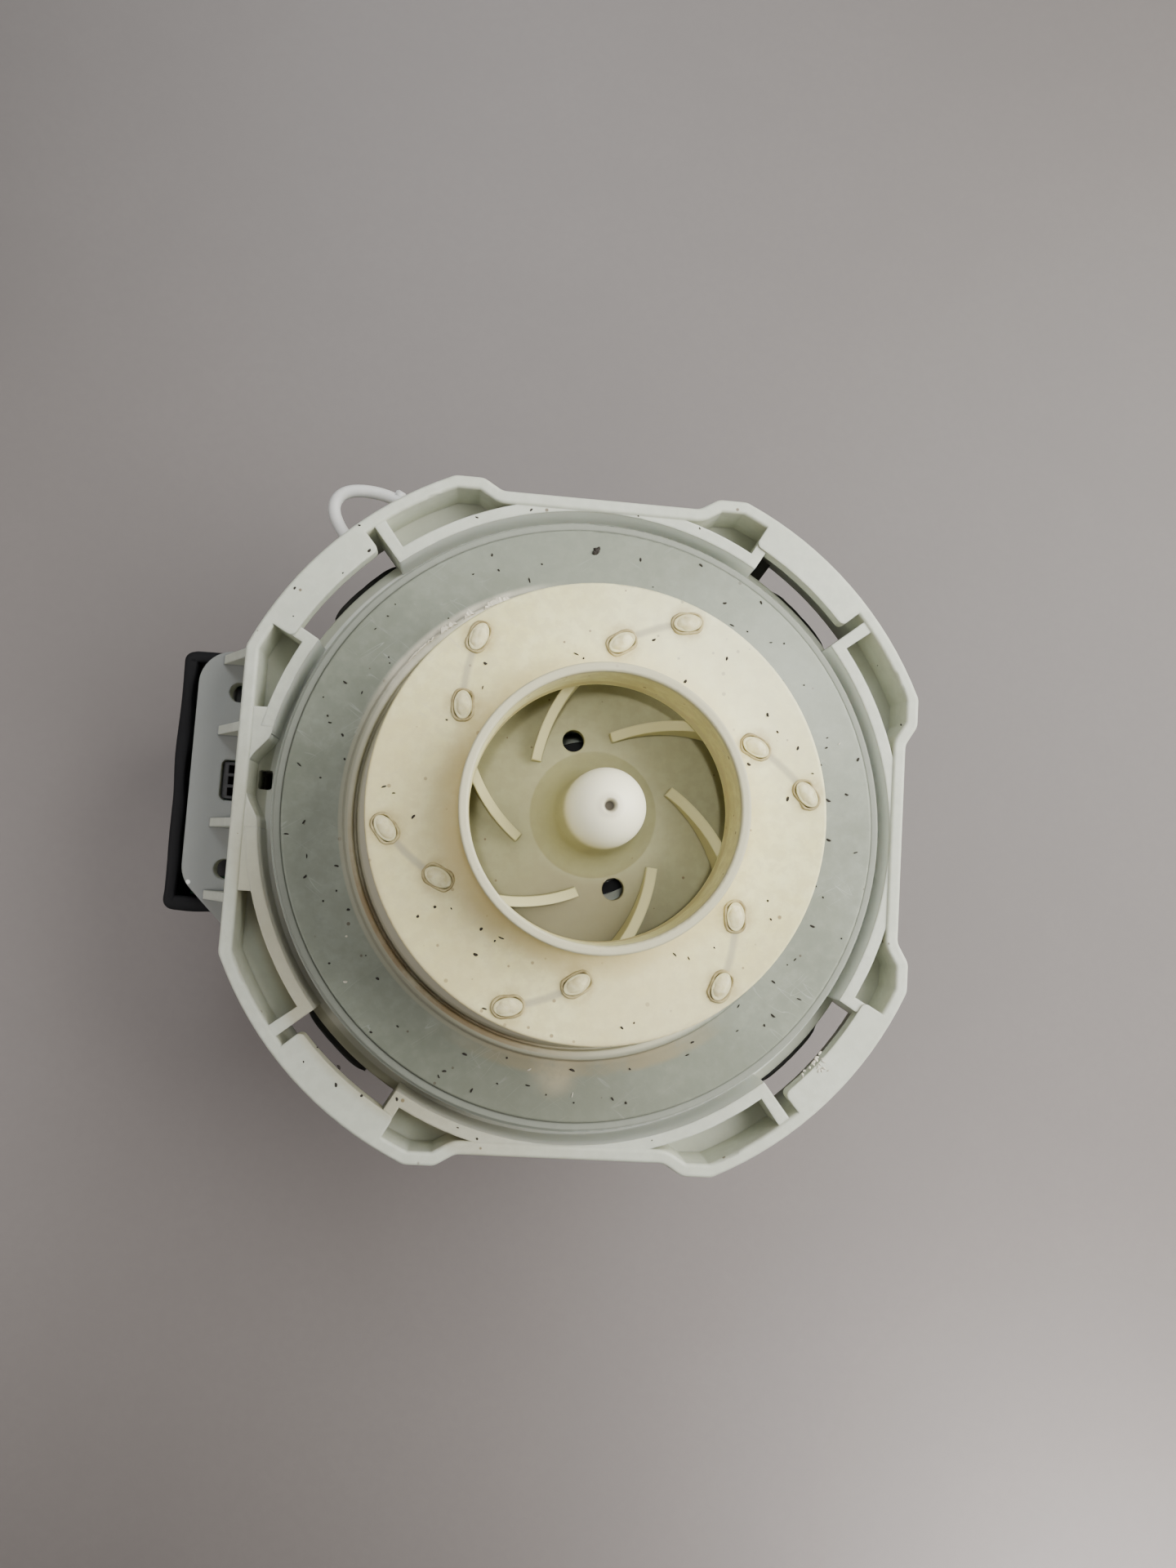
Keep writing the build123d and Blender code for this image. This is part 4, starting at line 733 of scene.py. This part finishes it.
finishUsers = {
    "agedBracket": ["front_bracket"],
    "agedCover": ["pump_cover"],
    "paleRubber": ["cover_seal_ring"],
    "clipWhite": ["cable_clip"],
    "creamShroud": ["impeller_shroud"],
    "olivePlate": ["impeller_back_plate"],
    "blackHousing": ["motor_housing", "rear_cover"],
    "blackBox": ["terminal_box"],
    "blackRubber": ["box_gasket", "seal_seat_cup", "seal_bellows"],
    "whiteCeramic": ["seal_seat"],
    "carbonFace": ["seal_face_ring"],
    "springSteel": ["seal_spring", "bearing_spring_washer", "rear_circlip"],
    "bearingSteel": [
        "front_bearing_outer_race", "rear_bearing_outer_race", "front_bearing_inner_race",
        "rear_bearing_inner_race", "front_bearing_balls", "rear_bearing_balls",
    ],
    "cageNylon": ["front_bearing_cage", "rear_bearing_cage"],
    "shaftSteel": ["motor_shaft"],
    "stackedSteel": ["rotor_core", "stator_core"],
    "magnetDark": ["rotor_magnets"],
    "sleeveSteel": ["rotor_sleeve"],
    "insulatorWhite": ["stator_insulators"],
    "copperWire": ["stator_coils"],
    "zincScrew": ["rear_cover_screws", "bracket_screws", "box_screws"],
    "boardGreen": ["control_board"],
    "canAluminium": ["board_capacitors"],
    "moduleBlack": ["power_module"],
    "connectorGrey": ["connector_header"],
    "contactBrass": ["contact_pins", "phase_busbars"],
    "guideBlack": ["busbar_guide"],
}
nodeFinish = {name: finish for finish, users in finishUsers.items() for name in users}
for name, node in nodes.items():
    node.data.materials.clear()
    node.data.materials.append(finishes[nodeFinish[name]])
print("finishes on", len(nodes), "nodes")


# Tools that the made pieces share
def addObject(name, data):
    added = bpy.data.objects.new(name, data)
    bpy.context.scene.collection.objects.link(added)
    return added


def meshData(name, mesh):
    data = bpy.data.meshes.new(name)
    mesh.to_mesh(data)
    mesh.free()
    return data


def addPiece(name, mesh, material, smooth=False):
    bmesh.ops.recalc_face_normals(mesh, faces=mesh.faces)
    data = meshData(name, mesh)
    for face in data.polygons:
        face.use_smooth = smooth
    data.materials.append(material)
    return addObject(name, data)


def outward(degrees):
    angle = math.radians(degrees)
    return Vector((math.cos(angle), math.sin(angle), 0))


def joinRows(mesh, rows):
    # A bar through rows of corners, with its two ends closed
    for one, two in zip(rows, rows[1:]):
        for side in range(len(one)):
            after = (side + 1) % len(one)
            mesh.faces.new((one[side], one[after], two[after], two[side]))
    mesh.faces.new(rows[0])
    mesh.faces.new(rows[-1])


# Loose dirt and scale, and the rims that stand round the stake heads
def simpleFinish(name, colour, roughness):
    form = {"grainSize": 0.2, "grainDepth": 0.03, "mottleSize": 0.4, "edge": 0.05}
    return agedPlastic(name, plasticLook(colour, 0.7, roughness=roughness, **form))


darkBits = simpleFinish("darkBits", (0.022, 0.016, 0.010), 0.8)
creamScale = simpleFinish("creamScale", (0.78, 0.73, 0.58), 0.75)
paleCrumb = simpleFinish("paleCrumb", (0.74, 0.70, 0.58), 0.8)
creamHead = agedPlastic(
    "creamHead",
    {
        "colour": (0.80, 0.74, 0.42), "roughness": 0.6, "glow": 0.15,
        "cloudColour": (0.62, 0.53, 0.27), "cloudSize": 1.6, "cloudAmount": 0.8,
        "mottleColour": (0.92, 0.88, 0.64), "mottleSize": 0.8, "mottleAmount": 0.5,
        "gritColour": (0.56, 0.48, 0.24),
        "edge": 0.1,
    },
)
amberRim = agedPlastic(
    "amberRim",
    {
        "colour": (0.28, 0.22, 0.09), "roughness": 0.5,
        "cloudColour": (0.56, 0.48, 0.25), "cloudSize": 2.5, "cloudAmount": 0.8,
        "mottleColour": (0.16, 0.11, 0.04), "mottleSize": 0.8, "mottleAmount": 0.5,
        "grainDepth": 0.006, "edge": 0.05,
    },
)


def newGeometryTree(name, inputs):
    tree = bpy.data.node_groups.new(name, "GeometryNodeTree")
    kinds = {float: "NodeSocketFloat", int: "NodeSocketInt", tuple: "NodeSocketVector"}
    tree.interface.new_socket("Geometry", in_out="INPUT", socket_type="NodeSocketGeometry")
    for label, value in inputs.items():
        kind = kinds.get(type(value), "NodeSocketMaterial")
        socket = tree.interface.new_socket(label, in_out="INPUT", socket_type=kind)
        if kind != "NodeSocketMaterial":
            socket.default_value = value
    tree.interface.new_socket("Geometry", in_out="OUTPUT", socket_type="NodeSocketGeometry")
    return tree, tree.nodes.new("NodeGroupInput").outputs, tree.nodes.new("NodeGroupOutput").inputs


def closeTree(tree, out, geometry, material, smooth=True):
    solid = nodeOut(tree, "GeometryNodeRealizeInstances", {0: geometry})
    if smooth:
        solid = nodeOut(tree, "GeometryNodeSetShadeSmooth", {0: solid})
    painted = addNode(tree, "GeometryNodeSetMaterial", {0: solid, "Material": material})
    plug(tree, painted.outputs[0], out["Geometry"])


def bakePiece(name, tree, values, startMesh=None):
    # Runs the tree on a helper object and keeps only the finished mesh
    helper = addObject(name + "Helper", startMesh or bpy.data.meshes.new(name + "Start"))
    modifier = helper.modifiers.new("build", "NODES")
    modifier.node_group = tree
    for item in tree.interface.items_tree:
        if item.item_type == "SOCKET" and item.in_out == "INPUT" and item.name in values:
            modifier[item.identifier] = values[item.name]
    bpy.context.view_layer.update()
    mesh = bpy.data.meshes.new_from_object(helper.evaluated_get(bpy.context.evaluated_depsgraph_get()))
    mesh.name = name
    helper.modifiers.clear()
    bpy.data.objects.remove(helper)
    return addObject(name, mesh)


def unevenPush(tree, scale, **more):
    # A push of at most half a unit each way that changes from place to place
    place = tree.nodes.new("GeometryNodeInputPosition").outputs[0]
    pattern = noisePattern(tree, place, scale, "Color", **more)
    return vectorCalc(tree, "ADD", {0: pattern, 1: (-0.5, -0.5, -0.5)})


def makeStakeTree(name, sizes, addShape):
    start = {
        "Ring Radius": 22.0 * mm, "First Angle": 90.0, "Lean": 0.0, "Height": shroudTop * mm, "Count": 6,
        **sizes, "Material": None,
    }
    tree, given, out = newGeometryTree(name, start)
    index = tree.nodes.new("GeometryNodeInputIndex").outputs[0]
    pitch = calc(tree, "DIVIDE", 360.0, given["Count"])
    degrees = calc(tree, "ADD", times(tree, index, pitch), given["First Angle"])
    angle = calc(tree, "RADIANS", degrees)
    lean = calc(tree, "RADIANS", calc(tree, "ADD", degrees, given["Lean"]))
    x = times(tree, calc(tree, "COSINE", angle), given["Ring Radius"])
    y = times(tree, calc(tree, "SINE", angle), given["Ring Radius"])
    spot = nodeOut(tree, "ShaderNodeCombineXYZ", {0: x, 1: y, 2: given["Height"]})
    points = nodeOut(tree, "GeometryNodeMeshLine", {"Count": given["Count"]})
    placed = nodeOut(tree, "GeometryNodeSetPosition", {0: points, "Position": spot})
    spin = nodeOut(tree, "ShaderNodeCombineXYZ", {2: lean})
    wires = {"Points": placed, "Instance": addShape(tree, given), "Rotation": spin}
    many = nodeOut(tree, "GeometryNodeInstanceOnPoints", wires)
    solid = nodeOut(tree, "GeometryNodeRealizeInstances", {0: many})
    small = vectorCalc(tree, "SCALE", {0: unevenPush(tree, 1100.0, Detail=1.0), "Scale": given["Rough"]})
    uneven = nodeOut(tree, "GeometryNodeSetPosition", {0: solid, "Offset": small})
    closeTree(tree, out, uneven, given["Material"])
    return tree


def addRimShape(tree, given):
    oval = nodeOut(
        tree, "GeometryNodeCurvePrimitiveQuadrilateral",
        {"Width": given["Length"], "Height": given["Width"]},
    )
    corner = times(tree, given["Width"], 0.46)
    rounded = nodeOut(
        tree, "GeometryNodeFilletCurve", {"Curve": oval, "Count": 6, "Radius": corner}, mode="POLY"
    )
    even = nodeOut(tree, "GeometryNodeResampleCurve", {"Curve": rounded, "Count": 40})
    section = nodeOut(tree, "GeometryNodeCurvePrimitiveCircle", {"Resolution": 8, "Radius": given["Rod"]})
    return nodeOut(tree, "GeometryNodeCurveToMesh", {"Curve": even, "Profile Curve": section})


def addHeadShape(tree, given):
    ball = nodeOut(tree, "GeometryNodeMeshIcoSphere", {"Radius": 0.5, "Subdivisions": 4})
    size = nodeOut(tree, "ShaderNodeCombineXYZ", {0: given["Length"], 1: given["Width"], 2: given["Crown"]})
    return nodeOut(tree, "GeometryNodeTransform", {"Geometry": ball, "Scale": size})


def makeScatterTree():
    start = {
        "Density": 1e4, "Seed": 1, "Smallest": (1e-4, 1e-4, 1e-4), "Largest": (5e-4, 3e-4, 2e-4),
        "Material": None,
    }
    tree, given, out = newGeometryTree("scatteredBits", start)
    wires = {"Mesh": given["Geometry"], "Density": given["Density"], "Seed": given["Seed"]}
    points = addNode(tree, "GeometryNodeDistributePointsOnFaces", wires).outputs["Points"]
    bit = nodeOut(tree, "GeometryNodeMeshIcoSphere", {"Radius": 1.0, "Subdivisions": 2})
    rough = nodeOut(tree, "GeometryNodeSetPosition", {0: bit, "Offset": unevenPush(tree, 1.6)})
    size = addNode(
        tree, "FunctionNodeRandomValue", {0: given["Smallest"], 1: given["Largest"], "Seed": given["Seed"]},
        data_type="FLOAT_VECTOR",
    )
    turn = addNode(
        tree, "FunctionNodeRandomValue", {0: (0, 0, 0), 1: (0.3, 0.3, 6.28), "Seed": 7},
        data_type="FLOAT_VECTOR",
    )
    wires = {"Points": points, "Instance": rough, "Rotation": turn.outputs[0], "Scale": size.outputs[0]}
    many = nodeOut(tree, "GeometryNodeInstanceOnPoints", wires)
    closeTree(tree, out, many, given["Material"], smooth=False)
    return tree


stakePlaces = {
    "inner": {"Ring Radius": 22.1 * mm, "First Angle": 86.1, "Lean": -53.4, "Count": 6},
    "outer": {"Ring Radius": 27.2 * mm, "First Angle": 68.5, "Lean": -60.1, "Count": 6},
}
stakeRim = {
    "Length": 3.95 * mm, "Width": 2.55 * mm, "Rod": 0.21 * mm, "Height": (shroudTop + 0.02) * mm,
    "Rough": 0.28 * mm,
}
stakeHead = {
    "Length": 3.6 * mm, "Width": 2.2 * mm, "Crown": 1.3 * mm, "Height": shroudTop * mm, "Rough": 0.3 * mm
}
stakes = {
    "StakeRims": (stakeRim, makeStakeTree("stakeRims", stakeRim, addRimShape), amberRim),
    "StakeHeads": (stakeHead, makeStakeTree("stakeHeads", stakeHead, addHeadShape), creamHead),
}
for side, places in stakePlaces.items():
    for label, (sizes, tree, finish) in stakes.items():
        piece = bakePiece(side + label, tree, {**places, **sizes, "Material": finish})
        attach(piece, "rotor")


def sectorMesh(name, patches):
    # Flat ring pieces (inner, outer, first angle, last angle, height) that the bits are strewn on
    mesh = bmesh.new()
    for inner, outer, first, last, height in patches:
        steps = max(2, int((last - first) / 6))
        rows = []
        for step in range(steps + 1):
            angle = math.radians(first + (last - first) * step / steps)
            x, y = math.cos(angle), math.sin(angle)
            rows.append([mesh.verts.new((r * mm * x, r * mm * y, height * mm)) for r in (inner, outer)])
        for one, two in zip(rows, rows[1:]):
            mesh.faces.new((one[0], one[1], two[1], two[0]))
    return meshData(name, mesh)


scatterTree = makeScatterTree()
commonScatter = {"smallest": (0.08, 0.08, 0.08), "finish": darkBits, "body": "housing"}
scatters = {
    "discBits": {
        "patches": [(36.2, 43.6, 0, 360, discTop + 0.05)],
        "density": 4.2e4, "seed": 4, "largest": (0.46, 0.2, 0.12),
        "slot": "cover_plastic",
    },
    "ledgeBits": {
        "patches": [
            (50.5, 54.2, 20, 34, collarTop), (46.8, 47.9, -60, 100, channelFloor + 0.05),
            (54.6, 56.2, 118, 150, collarTop),
        ],
        "density": 7e4, "seed": 9, "smallest": (0.07, 0.07, 0.07), "largest": (0.3, 0.2, 0.1),
        "slot": "bracket_plastic",
    },
    "discBlob": {
        "patches": [(40.7, 41.5, 90.2, 91.4, discTop + 0.05)],
        "density": 9e6, "seed": 3, "smallest": (0.2, 0.2, 0.2), "largest": (0.6, 0.4, 0.2),
        "slot": "cover_plastic",
    },
    "discFlecks": {
        "patches": [(36.5, 43.4, 200, 330, discTop + 0.03), (36.5, 43.4, 20, 60, discTop + 0.03)],
        "density": 9e3, "seed": 6, "largest": (0.4, 0.2, 0.08),
        "finish": paleCrumb, "slot": "cover_plastic",
    },
    "collarBits": {
        "patches": [
            (50.6, 54.0, 131, 150, collarTop), (50.6, 54.0, 221, 240, collarTop),
            (48.3, 49.7, 60, 120, collarTop - 0.3), (48.3, 49.7, 240, 300, collarTop - 0.3),
        ],
        "density": 6e4, "seed": 8, "largest": (0.42, 0.24, 0.1),
        "slot": "bracket_plastic",
    },
    "shroudBits": {
        "patches": [(18.6, 29.0, 0, 360, shroudTop + 0.02)],
        "density": 2.4e4, "seed": 2, "largest": (0.42, 0.2, 0.1),
        "body": "rotor", "slot": "shroud_plastic",
    },
    "lobeCrumbs": {
        "patches": [(50.5, 51.3, -45.5, -40.0, collarTop - 0.1), (51.3, 53.4, -42.6, -40.6, collarTop)],
        "density": 3.2e6, "seed": 5, "largest": (0.4, 0.26, 0.2),
        "finish": paleCrumb, "slot": "bracket_plastic",
    },
}
for name, scatter in scatters.items():
    spec = {**commonScatter, **scatter}
    values = {label: tuple(side * mm for side in spec[label.lower()]) for label in ("Smallest", "Largest")}
    values.update({"Density": spec["density"], "Seed": spec["seed"], "Material": spec["finish"]})
    piece = bakePiece(name, scatterTree, values, sectorMesh(name + "Ground", spec["patches"]))
    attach(piece, spec["body"])


# Flakes of scale that cling to the top of the cover's low ring, thin and ragged
lipScale = {
    "strips": [(112.0, 119.0, 0.9), (121.5, 124.5, 0.8), (126.5, 131.5, 0.7), (132.0, 142.5, 0.3)],
    "middle": 34.9, "rise": 1.2, "step": 0.45, "thickness": 0.16, "bevel": 0.08, "sink": 0.05,
}


def makeLipScale(look):
    mesh = bmesh.new()
    top = (discTop + look["rise"]) * mm
    for first, last, width in look["strips"]:
        steps = int((last - first) / look["step"])
        rows = []
        for step in range(steps + 1):
            out = outward(first + (last - first) * step / steps)
            ragged = [noise.noise(Vector((step * 0.9, first + shift, 0))) for shift in (0, 5, 9, 13)]
            taper = math.sin(math.pi * step / steps) ** 0.4
            inner = look["middle"] - 0.25 * width + 0.2 * ragged[0]
            outer = inner + width * taper * (1 + 0.8 * ragged[1]) + 0.06
            lift = (0.04 + 0.12 * abs(ragged[2])) * mm
            thick = look["thickness"] * mm * (0.6 + 0.5 * taper)
            foot, ridge, bevel = -look["sink"] * mm, lift + thick * (1 + ragged[3]), look["bevel"]
            ends = ((inner, foot), (inner + bevel, lift + thick), (outer - bevel, ridge), (outer, foot))
            rows.append([mesh.verts.new(out * r * mm + Vector((0, 0, top + z))) for r, z in ends])
        joinRows(mesh, rows)
    return addPiece("lipScale", mesh, creamScale)


scale = makeLipScale(lipScale)
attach(scale, "housing")
print("dirt, scale and stake rims in place")


# The ring rib runs into the left wall on both sides of the wire hole
ribRoots = {
    "wall": -49.98, "inner": 48.12, "low": channelFloor - 0.1, "high": collarTop - 0.33,
    "spans": [(13.8, 10.4, 5.3), (-13.6, -3.7, 1.4)], "steps": 14, "tipSteps": 3,
}


def makeRibRoots(look):
    mesh = bmesh.new()
    for tip, end, foot in look["spans"]:
        outline = [(look["wall"], tip)]
        for step in range(look["steps"] + 1):
            y = tip + (end - tip) * step / look["steps"]
            edge = look["inner"] + max(0.0, 1 - step / look["tipSteps"])
            outline.append((-math.sqrt(edge**2 - y**2), y))
        shoulder = outline[-1][0]
        for step in range(1, look["steps"] + 1):
            share = step / look["steps"]
            bend = share * share * (3 - 2 * share)
            outline.append((shoulder + (look["wall"] - shoulder) * bend, end + (foot - end) * share))
        rows = [
            [mesh.verts.new((x * mm, y * mm, z * mm)) for x, y in outline]
            for z in (look["low"], look["high"])
        ]
        mesh.faces.new(rows[1])
        mesh.faces.new(rows[0])
        for one in range(len(outline)):
            two = (one + 1) % len(outline)
            mesh.faces.new((rows[0][one], rows[0][two], rows[1][two], rows[1][one]))
    bmesh.ops.triangulate(mesh, faces=[face for face in mesh.faces if len(face.verts) > 4])
    return addPiece("ribRoots", mesh, finishes["agedBracket"])


roots = makeRibRoots(ribRoots)
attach(roots, "housing")


# Black lips of the motor housing that show along the inner edge of each window
tongueLips = {
    "inner": 49.0, "outer": 51.1, "low": 51.3, "high": 53.25, "starts": [38.9, 128.5, 218.1, 308.9],
    "sweep": 15.0, "steps": 16, "edge": 0.3, "taper": 0.5, "wave": 0.08,
}


def makeTongueLips(look):
    mesh = bmesh.new()
    for start in look["starts"]:
        rows = []
        for step in range(look["steps"] + 1):
            share = step / look["steps"]
            wavy = look["wave"] * noise.noise(Vector((share * 9, start, 0)))
            reach = look["outer"] - look["taper"] * abs(2 * share - 1) ** 6 + wavy
            out = outward(start + look["sweep"] * share)
            inner, low, high, edge = look["inner"], look["low"], look["high"], look["edge"]
            profile = (
                (inner, low), (reach, low), (reach, high - edge), (reach - edge, high), (inner, high)
            )
            rows.append([mesh.verts.new((out * r + Vector((0, 0, z))) * mm) for r, z in profile])
        joinRows(mesh, rows)
    return addPiece("tongueLips", mesh, finishes["blackHousing"])


lips = makeTongueLips(tongueLips)
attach(lips, "housing")


# Cable clip: a smooth rod bent outwards, with its ends let into the lobe
clipLoop = {
    "rod": 2.0, "height": 54.0,
    "bends": [(-36.9, 40.2), (-42.6, 45.6), (-41.5, 51.35), (-31.6, 50.7), (-27.4, 46.9)],
    "tab": (-31.9, 50.6, 0.85, -28),
}


def makeClip(look):
    curve = bpy.data.curves.new("clipLine", "CURVE")
    curve.dimensions = "3D"
    line = curve.splines.new("NURBS")
    line.points.add(len(look["bends"]) - 1)
    for point, (x, y) in zip(line.points, look["bends"]):
        point.co = (x * mm, y * mm, look["height"] * mm, 1)
    line.order_u = 3
    line.use_endpoint_u = True
    curve.resolution_u = 24
    curve.bevel_depth = look["rod"] / 2 * mm
    curve.bevel_resolution = 6
    curve.use_fill_caps = True
    helper = addObject("clipHelper", curve)
    mesh = bpy.data.meshes.new_from_object(helper.evaluated_get(bpy.context.evaluated_depsgraph_get()))
    bpy.data.objects.remove(helper)
    shape = bmesh.new()
    shape.from_mesh(mesh)
    x, y, half, slant = look["tab"]
    centre = Vector((x, y, look["height"])) * mm
    block = bmesh.ops.create_cube(shape, size=2 * half * mm)["verts"]
    turn = Matrix.Translation(centre) @ Matrix.Rotation(math.radians(slant), 4, "Z")
    bmesh.ops.transform(shape, matrix=turn, verts=block)
    rims = list({edge for vert in block for edge in vert.link_edges})
    bmesh.ops.bevel(shape, geom=rims, offset=0.25 * half * mm, segments=3, affect="EDGES")
    shape.to_mesh(mesh)
    shape.free()
    for face in mesh.polygons:
        face.use_smooth = True
    mesh.materials.clear()
    mesh.materials.append(finishes["clipWhite"])
    return addObject("clipLoop", mesh)


clip = makeClip(clipLoop)
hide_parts("cable_clip")
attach(clip, "housing")


# Box gasket: a soft frame whose edges are a little wavy
gasketLook = {
    "width": 2.3, "corner": 2.0, "wave": 0.6, "waveLength": 8.0, "pull": 0.6,
    "spacing": 1.0, "cornerSteps": 6, "sides": 12, "roundness": 0.4,
}


def makeGasket(look):
    low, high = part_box("box_gasket")
    middle, half = (low + high) / 2, (high - low) / 2
    corner = look["corner"] * mm
    path = []
    for signX, signY, start in ((1, 1, 0), (-1, 1, 90), (-1, -1, 180), (1, -1, 270)):
        centre = Vector(
            (middle.x + signX * (half.x - corner), middle.y + signY * (half.y - corner), middle.z)
        )
        for step in range(look["cornerSteps"] + 1):
            path.append((centre, outward(start + step * 90 / look["cornerSteps"])))
    loop = []
    for (centre, out), (nextCentre, nextOut) in zip(path, path[1:] + path[:1]):
        here, there = centre + out * corner, nextCentre + nextOut * corner
        count = max(1, int((there - here).length / (look["spacing"] * mm)))
        loop += [
            (here.lerp(there, i / count), out.lerp(nextOut, i / count).normalized()) for i in range(count)
        ]
    mesh = bmesh.new()
    rows = []
    sides, power = look["sides"], look["roundness"]
    for place, out in loop:
        wave = place / (look["waveLength"] * mm)
        push = (noise.noise(wave) - look["pull"]) * look["wave"] * mm
        inner = noise.noise(wave + Vector((7, 7, 7))) * look["wave"] * mm
        row = []
        for step in range(sides):
            angle = math.tau * step / sides
            across = abs(math.cos(angle)) ** power * math.copysign(1, math.cos(angle))
            up = abs(math.sin(angle)) ** power * math.copysign(1, math.sin(angle))
            shift = push if across > 0 else inner
            along = -look["width"] * mm / 2 * (1 - across) + shift * abs(across)
            row.append(mesh.verts.new(place + out * along + Vector((0, 0, up * half.z))))
        rows.append(row)
    for one, two in zip(rows, rows[1:] + rows[:1]):
        for step in range(sides):
            after = (step + 1) % sides
            mesh.faces.new((one[step], two[step], two[after], one[after]))
    return addPiece("gasketSkin", mesh, finishes["blackRubber"], smooth=True)


gasket = makeGasket(gasketLook)
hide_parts("box_gasket")
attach(gasket, "housing")
print("clip and gasket shaped")


# Floor, soft light and the camera of the photograph
stage = {
    "floorSize": 1.6, "floorColour": (0.150, 0.134, 0.126), "world": (0.55, 0.55, 0.56),
    "worldStrength": 0.36,
}


def makeFloor(look):
    mesh = bmesh.new()
    bmesh.ops.create_grid(mesh, x_segments=2, y_segments=2, size=look["floorSize"] / 2)
    data = meshData("floor", mesh)
    colour = look["floorColour"]
    floorLook = {
        "colour": colour,
        "cloudColour": tuple(v * 0.94 for v in colour), "cloudSize": 60.0,
        "mottleColour": tuple(v * 1.04 for v in colour), "mottleSize": 12.0,
        "roughness": 0.6,
        "grainSize": 0.6, "grainDepth": 0.01, "edge": 0.01,
    }
    data.materials.append(agedPlastic("floorGrey", floorLook))
    floor = addObject("floor", data)


def addLight(name, place, target, size, power, spread, colour):
    light = bpy.data.lights.new(name, "AREA")
    light.shape = "DISK"
    light.size = size
    light.energy = power
    light.color = colour
    light.spread = math.radians(spread)
    lamp = addObject(name, light)
    lamp.visible_camera = False
    lamp.location = place
    lamp.rotation_euler = (Vector(target) - Vector(place)).to_track_quat("-Z", "Y").to_euler()


makeFloor(stage)
# Where each light stands and what it looks at, in metres, then its size, power, spread and colour
lights = {
    "keyLight": ((0.26, 0.09, 0.30), (0, 0, 0.07), 0.40, 3.4, 180, (1.0, 0.99, 0.96)),
    "eyeLight": ((-0.03, 0.01, 0.45), (0, 0, 0.08), 0.04, 0.0033, 9, (1.0, 0.99, 0.97)),
    "cornerLight": ((0.25, -0.32, 0.25), (0.14, -0.17, 0), 0.12, 0.34, 50, (1.0, 0.96, 0.94)),
    "backLight": ((-0.05, 0.36, 0.42), (-0.03, 0.18, 0), 0.25, 0.21, 55, (0.93, 0.96, 1.0)),
    "leftLight": ((-0.32, -0.08, 0.30), (-0.15, -0.04, 0), 0.2, 0.12, 45, (1.0, 0.95, 0.93)),
}
for name, light in lights.items():
    addLight(name, *light)
world = bpy.data.worlds.new("softRoom")
world.use_nodes = True
world.node_tree.nodes["Background"].inputs[0].default_value = (*stage["world"], 1)
world.node_tree.nodes["Background"].inputs[1].default_value = stage["worldStrength"]
bpy.context.scene.world = world

view = {
    "tilt": (-0.0803, 0.0923, 0.0), "roll": (0.0, 0.0, -0.0681), "offset": (0.77, 5.44, 170.48),
    "height": 66.0, "lens": 34.95, "sensor": 36.0, "nearest": 0.01,
}


def turnBy(vector):
    vector = Vector(vector)
    return Matrix.Rotation(vector.length, 3, vector)


def placeCamera(look):
    camera = bpy.data.cameras.new("photoCamera")
    camera.sensor_fit = "HORIZONTAL"
    camera.sensor_width = look["sensor"]
    camera.lens = look["lens"]
    camera.clip_start = look["nearest"]
    turn = (turnBy(look["tilt"]) @ turnBy(look["roll"])).transposed()
    place = (turn @ Vector(look["offset"]) + Vector((0, 0, look["height"]))) * mm
    holder = addObject("photoCamera", camera)
    holder.matrix_world = Matrix.Translation(place) @ turn.to_4x4()
    bpy.context.scene.camera = holder


placeCamera(view)
print("floor, lights and camera set")

bpy.context.view_layer.update()
